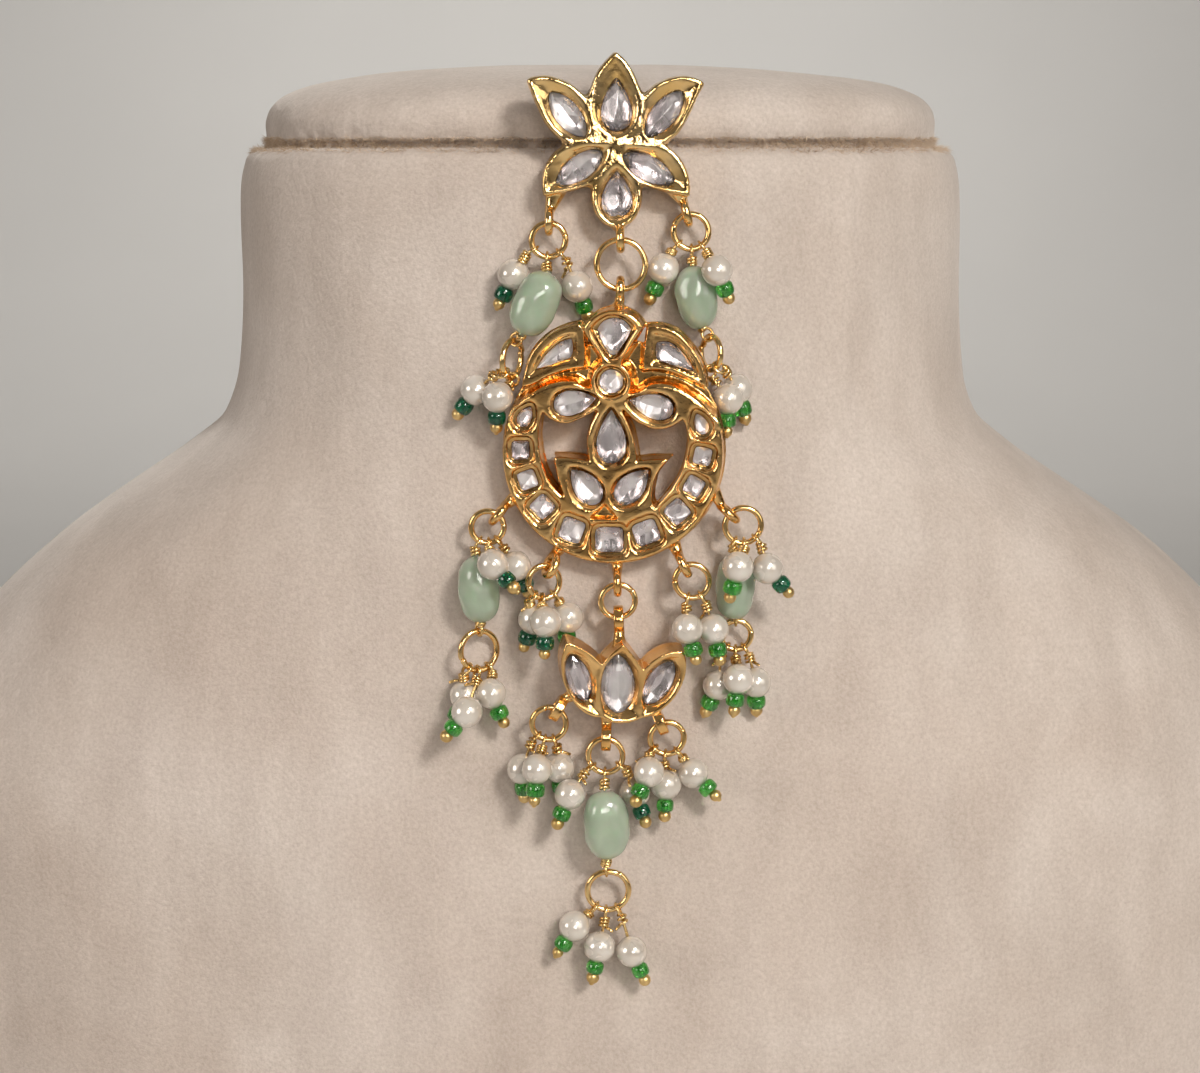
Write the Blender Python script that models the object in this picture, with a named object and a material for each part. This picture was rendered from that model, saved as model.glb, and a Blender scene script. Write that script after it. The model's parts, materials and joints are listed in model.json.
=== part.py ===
"""Tassel earring pinned to a velvet neck bust.

Metres, +Z up.  The origin is the centre of the bust's flat base, the front of
the bust faces -Y.  Sizes in the tables are millimetres.  Places in the tables
headed "view" are read off the front view in steps (across, down); sight()
carries a view place along its line of sight to a height above the velvet.
"""
import math

import bmesh
import bpy
from mathutils import Matrix, Vector

for old in list(bpy.data.objects):
    bpy.data.objects.remove(old, do_unlink=True)

MM = 0.001
TAU = 2 * math.pi

# ---------------------------------------------------------------- the view
SEAM = 195.0                       # height of the bust's seam above its base
EYE = Vector((0.0, -340.0, SEAM))
VIEW_STEPS = 2200.0                # steps per unit slope
VIEW_MID = (600.0, 536.5)
VIEW_DROP = math.radians(10.1)

# ---------------------------------------------------------------- the bust
# level from the seam, half width, front depth, back depth, squareness
BUST = (
    (-195.0, 104.0, 59.0, 56.0, 2.3),
    (-193.0, 106.5, 61.0, 58.0, 2.3),
    (-150.0, 113.0, 60.5, 58.0, 2.3),
    (-116.0, 116.0, 57.5, 56.5, 2.3),
    (-97.0, 114.0, 55.5, 55.0, 2.35),
    (-84.0, 107.5, 54.0, 54.0, 2.4),
    (-72.0, 97.5, 53.0, 53.0, 2.4),
    (-59.0, 83.5, 52.4, 52.4, 2.45),
    (-51.0, 72.0, 52.1, 52.0, 2.5),
    (-44.5, 62.5, 51.7, 51.6, 2.5),
    (-39.5, 57.0, 51.4, 51.3, 2.5),
    (-33.0, 54.8, 51.1, 51.1, 2.5),
    (-20.0, 53.8, 50.6, 50.6, 2.5),
    (-7.0, 53.5, 50.2, 50.2, 2.5),
    (-2.2, 52.6, 49.4, 49.4, 2.5),
    (-0.7, 51.0, 48.0, 48.0, 2.5),
    (-0.35, 49.0, 46.0, 46.0, 2.5),
    (0.35, 48.8, 45.8, 45.8, 2.5),
    (0.8, 49.4, 47.2, 47.2, 2.5),
    (2.8, 49.6, 47.7, 47.7, 2.5),
    (4.6, 49.2, 47.2, 47.2, 2.5),
    (6.4, 47.8, 45.6, 45.6, 2.5),
    (8.2, 44.0, 42.0, 42.0, 2.5),
    (9.8, 36.0, 34.5, 34.5, 2.45),
    (11.0, 24.0, 23.0, 23.0, 2.3),
    (11.6, 11.0, 10.3, 10.3, 2.2),
)
BUST_SIDES = 28
POST_RADIUS = 0.45
POST_LENGTH = 11.0
POST_HOLE = 0.85

# ---------------------------------------------------------------- the frames
# frame: view place of its middle, lift of its front face, thickness,
# turn to the left (degrees), lean of the top towards the viewer (degrees)
FRAMES = {
    "stud": ((618.0, 145.0), 4.0, 3.1, 0.0, 0.0),
    "crescent": ((612.0, 446.0), 5.7, 3.2, 6.0, 4.0),
    "lotus": ((625.0, 684.0), 6.0, 3.6, -6.0, 5.0),
}
EDGE_ROUND = 0.3
FIT = 0.3                          # gap round each stone
STONE_BED = 1.5                    # depth of a stone's pocket

# gold petals, view: middle, half length, half width, turn, point, taper
STUD_PETALS = (
    ((616.0, 101.0), 49.0, 27.0, 90.0, 1.4, 0.0),
    ((570.0, 111.0), 52.5, 26.0, 143.5, 1.4, 0.0),
    ((661.0, 114.0), 52.0, 26.5, 36.0, 1.4, 0.0),
    ((580.0, 169.5), 46.0, 25.0, 215.6, 1.3, 0.0),
    ((652.0, 171.0), 45.5, 25.0, -35.1, 1.3, 0.0),
    ((617.0, 189.0), 40.0, 26.0, 270.0, 1.05, 0.0),
    ((618.0, 145.0), 24.0, 24.0, 0.0, 1.0, 0.0),
)
CRESCENT_PETALS = (
    ((612.5, 454.0), 111.5, 111.5, 0.0, 1.0, 0.0),
    ((612.5, 338.0), 31.0, 32.0, 270.0, 1.0, 0.6),
    ((611.5, 381.0), 21.0, 21.0, 0.0, 1.0, 0.0),
)
# crown leaf, view: across from the middle line, down
LEAF_MIDDLE = 613.5
LEAF_EDGE = (
    (93.5, 388.0), (90.5, 372.0), (83.5, 356.0), (73.5, 342.0),
    (61.5, 332.0), (48.5, 326.0), (35.5, 323.5), (29.0, 346.0),
    (29.0, 369.0), (43.5, 372.0), (63.5, 380.0), (78.5, 392.0),
)
# openings, view: across, down
OPENING_LEFT = (
    (543.0, 414.0), (553.0, 422.0), (567.0, 424.5), (582.0, 419.0),
    (596.0, 411.5), (588.5, 427.0), (585.5, 442.0), (588.0, 460.0),
    (572.0, 457.0), (554.0, 456.5), (555.5, 472.0), (562.0, 494.0),
    (553.0, 485.0), (546.0, 470.0), (541.0, 452.0), (539.5, 432.0),
)
OPENING_RIGHT = (
    (623.0, 411.0), (641.0, 424.5), (654.0, 430.0), (669.0, 429.0),
    (682.5, 421.0), (686.0, 434.0), (685.5, 452.0), (680.0, 472.0),
    (669.0, 490.0), (655.5, 506.0), (652.0, 500.0), (655.0, 478.0),
    (671.0, 459.0), (654.0, 458.5), (638.0, 460.0), (635.5, 440.0),
    (630.0, 426.0),
)
LOTUS_PETALS = (
    ((623.0, 684.0), 40.5, 34.0, 90.0, 1.1, 0.0),
    ((592.0, 683.0), 46.5, 26.0, 123.0, 1.3, 0.0),
    ((655.5, 684.0), 43.0, 25.0, 51.0, 1.3, 0.0),
    ((625.0, 690.0), 38.0, 34.0, 0.0, 1.0, 0.0),
)

# ---------------------------------------------------------------- the stones
# name, frame, view middle, half length, half width, turn, point, taper
STONES = (
    ("stud_stone_1", "stud", (616.5, 104.0), 26.0, 15.0, 90.0, 1.0, 0.9),
    ("stud_stone_2", "stud", (567.5, 114.5), 28.5, 12.0, 128.4, 1.4, 0.0),
    ("stud_stone_3", "stud", (664.5, 113.5), 29.0, 12.0, 51.6, 1.4, 0.0),
    ("stud_stone_4", "stud", (579.0, 168.0), 28.0, 11.5, 214.8, 1.3, 0.2),
    ("stud_stone_5", "stud", (649.5, 169.0), 29.0, 12.0, -28.8, 1.3, 0.2),
    ("stud_stone_6", "stud", (617.0, 194.0), 22.0, 15.0, 90.0, 1.0, 0.8),
    ("crescent_stone_1", "crescent", (613.5, 336.0), 18.0, 14.5, 270.0, 1.0, 0.8),
    ("crescent_stone_2", "crescent", (611.0, 382.0), 11.5, 11.5, 0.0, 1.0, 0.0),
    ("crescent_stone_3", "crescent", (555.0, 354.0), 22.0, 10.0, 213.0, 1.2, 0.5),
    ("crescent_stone_4", "crescent", (672.0, 355.0), 22.0, 10.0, -33.0, 1.2, 0.5),
    ("crescent_stone_5", "crescent", (574.0, 404.0), 21.5, 12.5, 12.0, 1.0, 0.8),
    ("crescent_stone_6", "crescent", (651.0, 408.0), 22.0, 12.0, 165.0, 1.0, 0.8),
    ("crescent_stone_7", "crescent", (611.0, 437.5), 26.5, 14.5, 90.0, 1.0, 0.9),
    ("crescent_stone_8", "crescent", (585.0, 487.0), 21.0, 12.5, 130.0, 1.1, 0.6),
    ("crescent_stone_9", "crescent", (632.0, 487.0), 22.0, 12.5, 45.0, 1.1, 0.6),
    ("lotus_stone_1", "lotus", (579.5, 678.0), 23.0, 9.5, 111.0, 1.3, 0.0),
    ("lotus_stone_2", "lotus", (618.0, 684.0), 27.0, 15.0, 90.0, 1.0, 0.25),
    ("lotus_stone_3", "lotus", (661.0, 684.0), 23.5, 10.0, 61.0, 1.3, 0.0),
)
# ring settings, view: middle, half length, half width, turn, taper (0 = square)
RING_STONES = (
    ((525.0, 417.0), 10.5, 6.8, 62.0, 0.7),
    ((520.0, 450.0), 7.6, 7.6, 5.0, 0.0),
    ((526.0, 480.0), 7.8, 7.8, 20.0, 0.0),
    ((541.0, 507.0), 8.8, 8.8, 43.0, 0.0),
    ((571.5, 530.0), 10.4, 10.0, -20.0, 0.0),
    ((610.0, 540.0), 13.4, 10.6, 0.0, 0.0),
    ((645.0, 533.0), 11.2, 10.4, 20.0, 0.0),
    ((675.5, 512.0), 9.4, 9.4, 42.0, 0.0),
    ((693.0, 487.0), 8.2, 8.2, 62.0, 0.0),
    ((702.0, 457.0), 7.6, 7.6, 78.0, 0.0),
    ((700.0, 424.0), 10.5, 6.4, 112.0, 0.7),
)
STRIP_WIDTH = 0.9
STRIP_DEEP = 2.2

# ---------------------------------------------------------------- the links
# name: view middle, outside diameter (steps), lift, turn, roll
RINGS = {
    "ring_1": ((548.5, 240.0), 39.0, 3.0, 0.0, 0.0),
    "ring_2": ((691.0, 231.5), 40.0, 3.0, 0.0, 0.0),
    "ring_3": ((621.0, 264.5), 54.0, 3.6, 0.0, 0.0),
    "ring_4": ((512.0, 359.0), 43.0, 3.6, 62.0, -12.0),
    "ring_5": ((711.0, 353.0), 39.0, 3.6, -60.0, 12.0),
    "ring_6": ((487.5, 527.0), 37.5, 3.0, 0.0, 0.0),
    "ring_7": ((743.0, 525.5), 41.0, 4.6, 0.0, 0.0),
    "ring_8": ((544.0, 582.0), 38.0, 3.6, 22.0, 0.0),
    "ring_9": ((692.0, 581.0), 39.0, 4.6, 0.0, 0.0),
    "ring_10": ((618.0, 601.0), 39.0, 3.8, 0.0, 0.0),
    "ring_11": ((479.0, 650.5), 45.0, 2.2, 30.0, 0.0),
    "ring_12": ((736.0, 635.0), 35.0, 2.4, 0.0, 0.0),
    "ring_13": ((549.0, 723.5), 38.5, 4.2, 0.0, 0.0),
    "ring_14": ((605.5, 755.5), 39.5, 3.8, 0.0, 0.0),
    "ring_15": ((667.0, 738.0), 38.5, 3.6, 0.0, 0.0),
    "ring_16": ((608.0, 890.5), 45.5, 2.6, 0.0, 0.0),
}
RING_WIRE = 0.33
RING_STEPS = 11

# cast loops: frame, ring, place round the ring, view anchor in the frame
CAST_LOOPS = (
    ("stud", "ring_1", 88.0, (556.0, 190.0)),
    ("stud", "ring_2", 105.0, (676.0, 188.0)),
    ("stud", "ring_3", 92.0, (618.0, 222.0)),
    ("crescent", "ring_3", -92.0, (615.0, 318.0)),
    ("crescent", "ring_6", 50.0, (514.0, 500.0)),
    ("crescent", "ring_7", 138.0, (711.0, 490.0)),
    ("crescent", "ring_8", 65.0, (560.0, 549.0)),
    ("crescent", "ring_9", 118.0, (672.0, 545.0)),
    ("crescent", "ring_10", 92.0, (616.0, 559.0)),
    ("lotus", "ring_10", -88.0, (621.0, 651.0)),
    ("lotus", "ring_13", 60.0, (577.0, 697.5)),
    ("lotus", "ring_14", 88.0, (608.5, 714.0)),
    ("lotus", "ring_15", 112.0, (652.5, 704.5)),
)
CAST_RADIUS = 1.35
CAST_WIRE = 0.42

# mint beads: view middle, half length, half width, turn, lift,
# upper ring and place, lower ring and place
MINTS = (
    ("mint_bead_1", (535.0, 303.5), 33.5, 23.0, 66.0, 4.4,
     "ring_1", -95.0, "ring_4", 86.0),
    ("mint_bead_2", (696.5, 297.5), 32.0, 20.3, 99.0, 3.0,
     "ring_2", -88.0, "ring_5", 94.0),
    ("mint_bead_3", (479.0, 589.5), 33.5, 20.8, 95.0, 3.2,
     "ring_6", -122.0, "ring_11", 90.0),
    ("mint_bead_4", (735.5, 586.0), 34.0, 20.0, 88.0, 3.2,
     "ring_7", -118.0, "ring_12", 92.0),
    ("mint_bead_5", (606.0, 825.0), 35.0, 23.0, 93.0, 4.6,
     "ring_14", -92.0, "ring_16", 95.0),
)
EYE_RADIUS = 0.85
EYE_WIRE = 0.21

# bunches of dangles: bunch, ring, place round the ring, view middle of the
# pearl, view middle of the ball, pearl lift, lean of the ball (+ outwards)
DANGLES = (
    ("tassel_1", "ring_1", -148.0, (513.0, 274.5), (499.0, 304.0), 2.25, -1),
    ("tassel_1", "ring_1", -48.0, (577.0, 286.5), (587.0, 315.0), 2.3, -1),
    ("tassel_2", "ring_2", -136.0, (663.5, 269.0), (650.0, 299.0), 2.5, 1),
    ("tassel_2", "ring_2", -52.0, (717.0, 270.5), (728.5, 297.0), 5.8, -1),
    ("tassel_3", "ring_4", -128.0, (476.0, 390.0), (457.5, 415.0), 2.5, -1),
    ("tassel_3", "ring_4", -70.0, (497.5, 397.0), (496.0, 428.0), 4.6, -1),
    ("tassel_4", "ring_5", -110.0, (728.0, 399.0), (727.0, 433.0), 4.2, -1),
    ("tassel_4", "ring_5", -60.0, (737.0, 389.0), (745.5, 419.0), 2.5, -1),
    ("tassel_5", "ring_6", -84.0, (493.0, 564.5), (512.5, 584.0), 6.4, 1),
    ("tassel_5", "ring_6", -52.0, (516.0, 566.0), (527.0, 592.0), 2.9, -1),
    ("tassel_6", "ring_11", -128.0, (465.0, 695.5), (452.0, 724.0), 2.5, -1),
    ("tassel_6", "ring_11", -60.0, (491.0, 693.5), (504.5, 724.0), 3.2, -1),
    ("tassel_6", "ring_11", -98.0, (467.0, 712.0), (444.0, 739.0), 6.0, -1),
    ("tassel_7", "ring_8", -130.0, (534.0, 619.0), (524.0, 648.0), 3.0, -1),
    ("tassel_7", "ring_8", -100.0, (545.5, 622.0), (544.5, 655.0), 5.8, -1),
    ("tassel_7", "ring_8", -52.0, (568.0, 617.5), (566.0, 646.0), 2.5, -1),
    ("tassel_8", "ring_9", -104.0, (687.5, 629.0), (696.5, 661.0), 6.4, -1),
    ("tassel_8", "ring_9", -58.0, (713.5, 629.0), (720.0, 661.5), 4.9, -1),
    ("tassel_9", "ring_7", -86.0, (738.0, 567.0), (730.5, 598.0), 8.2, -1),
    ("tassel_9", "ring_7", -44.0, (767.5, 568.5), (790.0, 594.0), 7.0, -1),
    ("tassel_10", "ring_12", -128.0, (718.0, 685.0), (707.0, 712.0), 2.6, -1),
    ("tassel_10", "ring_12", -92.0, (738.0, 679.0), (733.5, 714.0), 5.0, -1),
    ("tassel_10", "ring_12", -56.0, (756.0, 682.5), (757.0, 709.0), 2.6, -1),
    ("tassel_11", "ring_13", -134.0, (522.0, 769.0), (524.0, 799.0), 3.0, -1),
    ("tassel_11", "ring_13", -106.0, (537.0, 769.0), (534.0, 805.0), 5.9, -1),
    ("tassel_11", "ring_13", -72.0, (559.0, 767.5), (560.5, 797.0), 2.5, -1),
    ("tassel_12", "ring_14", -142.0, (570.0, 794.5), (556.5, 826.0), 5.0, -1),
    ("tassel_12", "ring_14", -34.0, (634.5, 792.0), (645.0, 818.5), 2.3, 1),
    ("tassel_13", "ring_15", -142.0, (649.0, 772.0), (635.5, 799.0), 5.4, 1),
    ("tassel_13", "ring_15", -96.0, (666.0, 784.5), (664.5, 820.0), 3.2, 1),
    ("tassel_13", "ring_15", -52.0, (693.0, 773.0), (715.0, 793.0), 3.0, 1),
    ("tassel_14", "ring_16", -128.0, (574.5, 926.0), (556.0, 955.5), 3.0, 1),
    ("tassel_14", "ring_16", -96.0, (599.5, 947.0), (592.0, 980.5), 3.4, 1),
    ("tassel_14", "ring_16", -62.0, (632.0, 951.5), (646.5, 984.0), 3.2, 1),
)
# bunches whose pearls touch; in the others a loose wire end ties the eyes
TOUCHING = ("tassel_4", "tassel_6", "tassel_10")
PEARL = 2.08
SEED = 1.2
SEED_LONG = 1.8
BALL = 0.78
DANGLE_REACH = 4.22                # middle of the pearl to middle of the ball
PIN = 0.24

COLLECTION = bpy.data.collections.new("tassel_earring_on_bust")
CUTTERS = bpy.data.collections.new("cutters")
for made in (COLLECTION, CUTTERS):
    bpy.context.scene.collection.children.link(made)


# ================================================================ geometry
def section(level):
    """Half width, front depth, back depth and squareness at a level."""
    rows = BUST
    if level <= rows[0][0]:
        return rows[0][1:]
    for low, high in zip(rows, rows[1:]):
        if level <= high[0]:
            part = (level - low[0]) / (high[0] - low[0])
            return tuple(a + (b - a) * part for a, b in zip(low[1:], high[1:]))
    return rows[-1][1:]


def velvet(x, z):
    """How far the front of the neck and chest stands out at x, z."""
    half, front, _, square = section(min(z - SEAM, -7.0))
    inside = max(0.0, 1.0 - (abs(x) / half) ** square)
    return -front * inside ** (1.0 / square)


def look(across, down):
    """Direction of the line of sight through a view place."""
    forward = Vector((0.0, math.cos(VIEW_DROP), -math.sin(VIEW_DROP)))
    upward = Vector((0.0, math.sin(VIEW_DROP), math.cos(VIEW_DROP)))
    return (forward
            + Vector((1.0, 0.0, 0.0)) * ((across - VIEW_MID[0]) / VIEW_STEPS)
            + upward * ((VIEW_MID[1] - down) / VIEW_STEPS))


def sight(place, lift):
    """The point on a line of sight that stands lift above the velvet."""
    way = look(*place)
    near, far = 200.0, 400.0
    for _ in range(40):
        mid = (near + far) / 2
        spot = EYE + way * mid
        if spot.y < velvet(spot.x, spot.z) - lift:
            near = mid
        else:
            far = mid
    return EYE + way * near


def steps_at(spot):
    """View steps per millimetre at a point."""
    forward = Vector((0.0, math.cos(VIEW_DROP), -math.sin(VIEW_DROP)))
    return VIEW_STEPS / (spot - EYE).dot(forward)


class Lay:
    """The flat local frame of one casting: x right, y up, z outwards."""

    def __init__(self, middle, lift, thick, turn, lean):
        self.middle = middle
        self.thick = thick
        spot = sight(middle, lift)
        a, b = math.radians(turn), math.radians(lean)
        basis = (Matrix.Rotation(-a, 3, "Z") @ Matrix.Rotation(b, 3, "X")
                 @ Matrix(((1, 0, 0), (0, 0, -1), (0, 1, 0))))
        self.matrix = Matrix.Translation(spot) @ basis.to_4x4()
        self.normal = basis @ Vector((0, 0, 1))
        self.origin = spot

    def flat(self, place):
        """View place to local millimetres on the front face."""
        way = look(*place)
        reach = (self.origin - EYE).dot(self.normal) / way.dot(self.normal)
        local = self.matrix.inverted() @ (EYE + way * reach)
        return (local.x, local.y)


LAYS = {name: Lay(*row) for name, row in FRAMES.items()}


def leaf(middle, half_long, half_wide, turn, point, taper, count, square=0.0):
    """Closed outline in view steps; x is along, the point is at +x."""
    a = math.radians(turn)
    raw = []
    for i in range(count):
        t = TAU * (i + (0.5 if square else 0.0)) / count
        c, s = math.cos(t), math.sin(t)
        if square:
            x = math.copysign(abs(c) ** (2 / square), c)
            y = math.copysign(abs(s) ** (2 / square), s)
        else:
            x = c
            y = math.copysign(abs(s) ** point, s) * abs(math.sin(t / 2)) ** taper
        raw.append((x, y))
    wide = max(abs(y) for _, y in raw)
    out = []
    for x, y in raw:
        x *= half_long
        y *= half_wide / wide
        out.append((middle[0] + x * math.cos(a) - y * math.sin(a),
                    middle[1] - x * math.sin(a) - y * math.cos(a)))
    return out


def exit_reach(loop, start, angle):
    """Farthest crossing of a ray from start with a closed outline."""
    dx, dy = math.cos(angle), -math.sin(angle)
    best = 0.0
    for (ax, ay), (bx, by) in zip(loop, loop[1:] + loop[:1]):
        ex, ey = bx - ax, by - ay
        cross = dx * ey - dy * ex
        if abs(cross) < 1e-9:
            continue
        t = ((ax - start[0]) * ey - (ay - start[1]) * ex) / cross
        u = ((ax - start[0]) * dy - (ay - start[1]) * dx) / cross
        if t > best and -1e-9 <= u <= 1 + 1e-9:
            best = t
    return best


def joined_outline(loops, start, count, sharp):
    """Outline of overlapping loops round start, with extra sharp angles."""
    angles = sorted({round(TAU * i / count, 5) for i in range(count)}
                    | {round(a % TAU, 5) for a in sharp})
    kept = []
    for a in angles:
        if kept and a - kept[-1] < TAU / count * 0.45:
            if any(abs(a - s % TAU) < 1e-3 for s in sharp):
                kept[-1] = a
            continue
        kept.append(a)
    out = []
    for a in kept:
        reach = max(exit_reach(loop, start, a) for loop in loops)
        out.append((start[0] + reach * math.cos(a),
                    start[1] - reach * math.sin(a)))
    return out


# ================================================================ solids
def clean(mesh):
    bm = bmesh.new()
    bm.from_mesh(mesh)
    bmesh.ops.remove_doubles(bm, verts=bm.verts, dist=0.000002)
    bmesh.ops.recalc_face_normals(bm, faces=bm.faces)
    bm.to_mesh(mesh)
    bm.free()


def own(name, mesh, matrix=None, collection=None):
    mesh.name = name
    if matrix is not None:
        mesh.transform(matrix)
    made = bpy.data.objects.new(name, mesh)
    (collection or CUTTERS).objects.link(made)
    return made


def curve_mesh(curve):
    holder = bpy.data.objects.new("holder", curve)
    CUTTERS.objects.link(holder)
    bpy.context.view_layer.update()
    graph = bpy.context.evaluated_depsgraph_get()
    mesh = bpy.data.meshes.new_from_object(holder.evaluated_get(graph))
    bpy.data.objects.remove(holder, do_unlink=True)
    clean(mesh)
    return mesh


def plate(name, loops, top, bottom, edge, matrix):
    """A filled outline with openings, from bottom to top, edges bevelled."""
    curve = bpy.data.curves.new(name, "CURVE")
    curve.dimensions = "2D"
    curve.fill_mode = "BOTH"
    for loop in loops:
        spline = curve.splines.new("POLY")
        spline.points.add(len(loop) - 1)
        for point, (x, y) in zip(spline.points, loop):
            point.co = (x * MM, y * MM, 0, 1)
        spline.use_cyclic_u = True
    curve.extrude = ((top - bottom) / 2 - edge) * MM
    curve.bevel_depth = edge * MM
    curve.bevel_resolution = 0
    curve.offset = -edge * MM
    mesh = curve_mesh(curve)
    mesh.transform(Matrix.Translation((0, 0, (top + bottom) / 2 * MM)))
    return own(name, mesh, metres(matrix))


def metres(matrix):
    out = matrix.copy()
    out.translation = matrix.translation * MM
    return out


def tube(name, points, radius, cyclic=False, resolution=1):
    curve = bpy.data.curves.new(name, "CURVE")
    curve.dimensions = "3D"
    curve.bevel_depth = radius * MM
    curve.bevel_resolution = resolution
    curve.use_fill_caps = not cyclic
    spline = curve.splines.new("POLY")
    spline.points.add(len(points) - 1)
    for point, place in zip(spline.points, points):
        point.co = (*(Vector(place) * MM), 1)
    spline.use_cyclic_u = cyclic
    return own(name, curve_mesh(curve))


def ball(name, middle, radius, levels):
    bm = bmesh.new()
    bmesh.ops.create_icosphere(bm, subdivisions=levels, radius=radius * MM)
    mesh = bpy.data.meshes.new(name)
    bm.to_mesh(mesh)
    bm.free()
    return own(name, mesh, Matrix.Translation(Vector(middle) * MM))


def drum(name, middle, way, radius, length, sides=7):
    bm = bmesh.new()
    bmesh.ops.create_cone(bm, cap_ends=True, segments=sides,
                          radius1=radius * MM, radius2=radius * MM,
                          depth=length * MM)
    mesh = bpy.data.meshes.new(name)
    bm.to_mesh(mesh)
    bm.free()
    turn = Vector(way).to_track_quat("Z", "Y").to_matrix().to_4x4()
    return own(name, mesh, Matrix.Translation(Vector(middle) * MM) @ turn)


def combine(base, other, operation):
    step = base.modifiers.new("step", "BOOLEAN")
    step.operation = operation
    step.solver = "EXACT"
    step.object = other
    bpy.context.view_layer.update()
    graph = bpy.context.evaluated_depsgraph_get()
    mesh = bpy.data.meshes.new_from_object(base.evaluated_get(graph))
    base.modifiers.remove(step)
    base.data = mesh
    bpy.data.objects.remove(other, do_unlink=True)
    return base


def union(parts):
    base = parts[0]
    for other in parts[1:]:
        combine(base, other, "UNION")
    return base


def finish(name, made, colour, metallic, roughness, smooth=False):
    """Name a finished solid, give it its material and its collection."""
    for slot in list(made.users_collection):
        slot.objects.unlink(made)
    COLLECTION.objects.link(made)
    made.name = name
    made.data.name = name
    clean(made.data)
    material = bpy.data.materials.new(name)
    material.use_nodes = True
    shader = material.node_tree.nodes["Principled BSDF"]
    shader.inputs["Base Color"].default_value = (*colour, 1.0)
    shader.inputs["Metallic"].default_value = metallic
    shader.inputs["Roughness"].default_value = roughness
    made.data.materials.clear()
    made.data.materials.append(material)
    for face in made.data.polygons:
        face.use_smooth = smooth
    return made


GOLD = (0.83, 0.58, 0.24)
CLEAR = (0.82, 0.84, 0.86)
MINT = (0.5, 0.66, 0.52)
CREAM = (0.86, 0.8, 0.72)
VELVET = (0.62, 0.52, 0.42)


# ================================================================ bust
def build_bust():
    rows = []
    for level, half, front, back, square in BUST:
        row = []
        for i in range(BUST_SIDES):
            t = TAU * i / BUST_SIDES
            c, s = math.cos(t), math.sin(t)
            x = half * math.copysign(abs(c) ** (2 / square), c)
            y = math.copysign(abs(s) ** (2 / square), s)
            row.append((x, y * (back if y > 0 else front), SEAM + level))
        rows.append(row)
    verts = [Vector(p) * MM for row in rows for p in row]
    faces = []
    n = BUST_SIDES
    for r in range(len(rows) - 1):
        for i in range(n):
            j = (i + 1) % n
            faces.append((r * n + i, r * n + j, (r + 1) * n + j, (r + 1) * n + i))
    faces.append(tuple(range(n - 1, -1, -1)))
    verts.append(Vector((0, 0, SEAM + 11.8)) * MM)
    top = len(verts) - 1
    last = (len(rows) - 1) * n
    for i in range(n):
        faces.append((last + i, last + (i + 1) % n, top))
    mesh = bpy.data.meshes.new("neck_bust")
    mesh.from_pydata(verts, [], faces)
    made = own("neck_bust", mesh)
    clean(made.data)
    start, end = post_line()
    way = (end - start).normalized()
    hole = tube("post_hole", [start - way * 2, end + way * 0.6], POST_HOLE)
    combine(made, hole, "DIFFERENCE")
    finish("neck_bust", made, VELVET, 0.0, 0.95, smooth=True)


def post_line():
    """The stud's post: from inside the casting back into the seam."""
    lay = LAYS["stud"]
    start = lay.matrix @ Vector((0, 0, -lay.thick + 0.6))
    return start, start + Vector((0, POST_LENGTH, 0))


# ================================================================ links
class Ring:
    def __init__(self, middle, outside, lift, turn, roll):
        self.centre = sight(middle, lift)
        self.radius = outside / 2 / steps_at(self.centre) - RING_WIRE
        spin = (Matrix.Rotation(math.radians(turn), 3, "Z")
                @ Matrix.Rotation(math.radians(-roll), 3, "Y"))
        self.right = spin @ Vector((1, 0, 0))
        self.up = spin @ Vector((0, 0, 1))

    def at(self, degrees):
        a = math.radians(degrees)
        return self.centre + (self.right * math.cos(a)
                              + self.up * math.sin(a)) * self.radius

    def along(self, degrees):
        a = math.radians(degrees)
        return (self.up * math.cos(a) - self.right * math.sin(a)).normalized()


LINKS = {name: Ring(*row) for name, row in RINGS.items()}


def circle(middle, normal, radius, count, start=None):
    """Points of a circle; the first points towards start."""
    normal = Vector(normal).normalized()
    first = Vector(start) if start is not None else Vector((0, 0, 1))
    first = (first - normal * first.dot(normal)).normalized()
    second = normal.cross(first)
    return [middle + (first * math.cos(TAU * i / count)
                      + second * math.sin(TAU * i / count)) * radius
            for i in range(count)]


def hook(name, ring, degrees, target, radius, wire, count, resolution,
         shift=0.1):
    """A closed eye round a ring's wire and the stem from it to a target."""
    hold = ring.at(degrees)
    along = ring.along(degrees)
    way = target - hold
    side = (way - along * way.dot(along)).normalized()
    middle = hold + side * shift
    eye = tube(name + "_eye", circle(middle, along, radius, count, side),
               wire, cyclic=True, resolution=resolution)
    stem = tube(name + "_stem", [middle + side * (radius - wire * 0.2), target],
                wire, resolution=resolution)
    return eye, stem


def build_rings():
    for name, ring in LINKS.items():
        loop = circle(ring.centre, ring.right.cross(ring.up), ring.radius,
                      RING_STEPS)
        made = tube(name, loop, RING_WIRE, cyclic=True)
        finish(name, made, GOLD, 1.0, 0.2, smooth=True)


# ================================================================ castings
def stone_loop(row, grow=0.0):
    name, frame, middle, long, wide, turn, point, taper = row
    loop = leaf(middle, long + grow, wide + grow, turn, point, taper, 10)
    return [LAYS[frame].flat(p) for p in loop]


def ring_stone_loop(row, grow=0.0):
    middle, long, wide, turn, taper = row
    if taper:
        loop = leaf(middle, long + grow, wide + grow, turn, 1.0, taper, 8)
    else:
        loop = leaf(middle, long + grow, wide + grow, turn, 1, 0, 8, square=5.0)
    return [LAYS["crescent"].flat(p) for p in loop]


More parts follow.
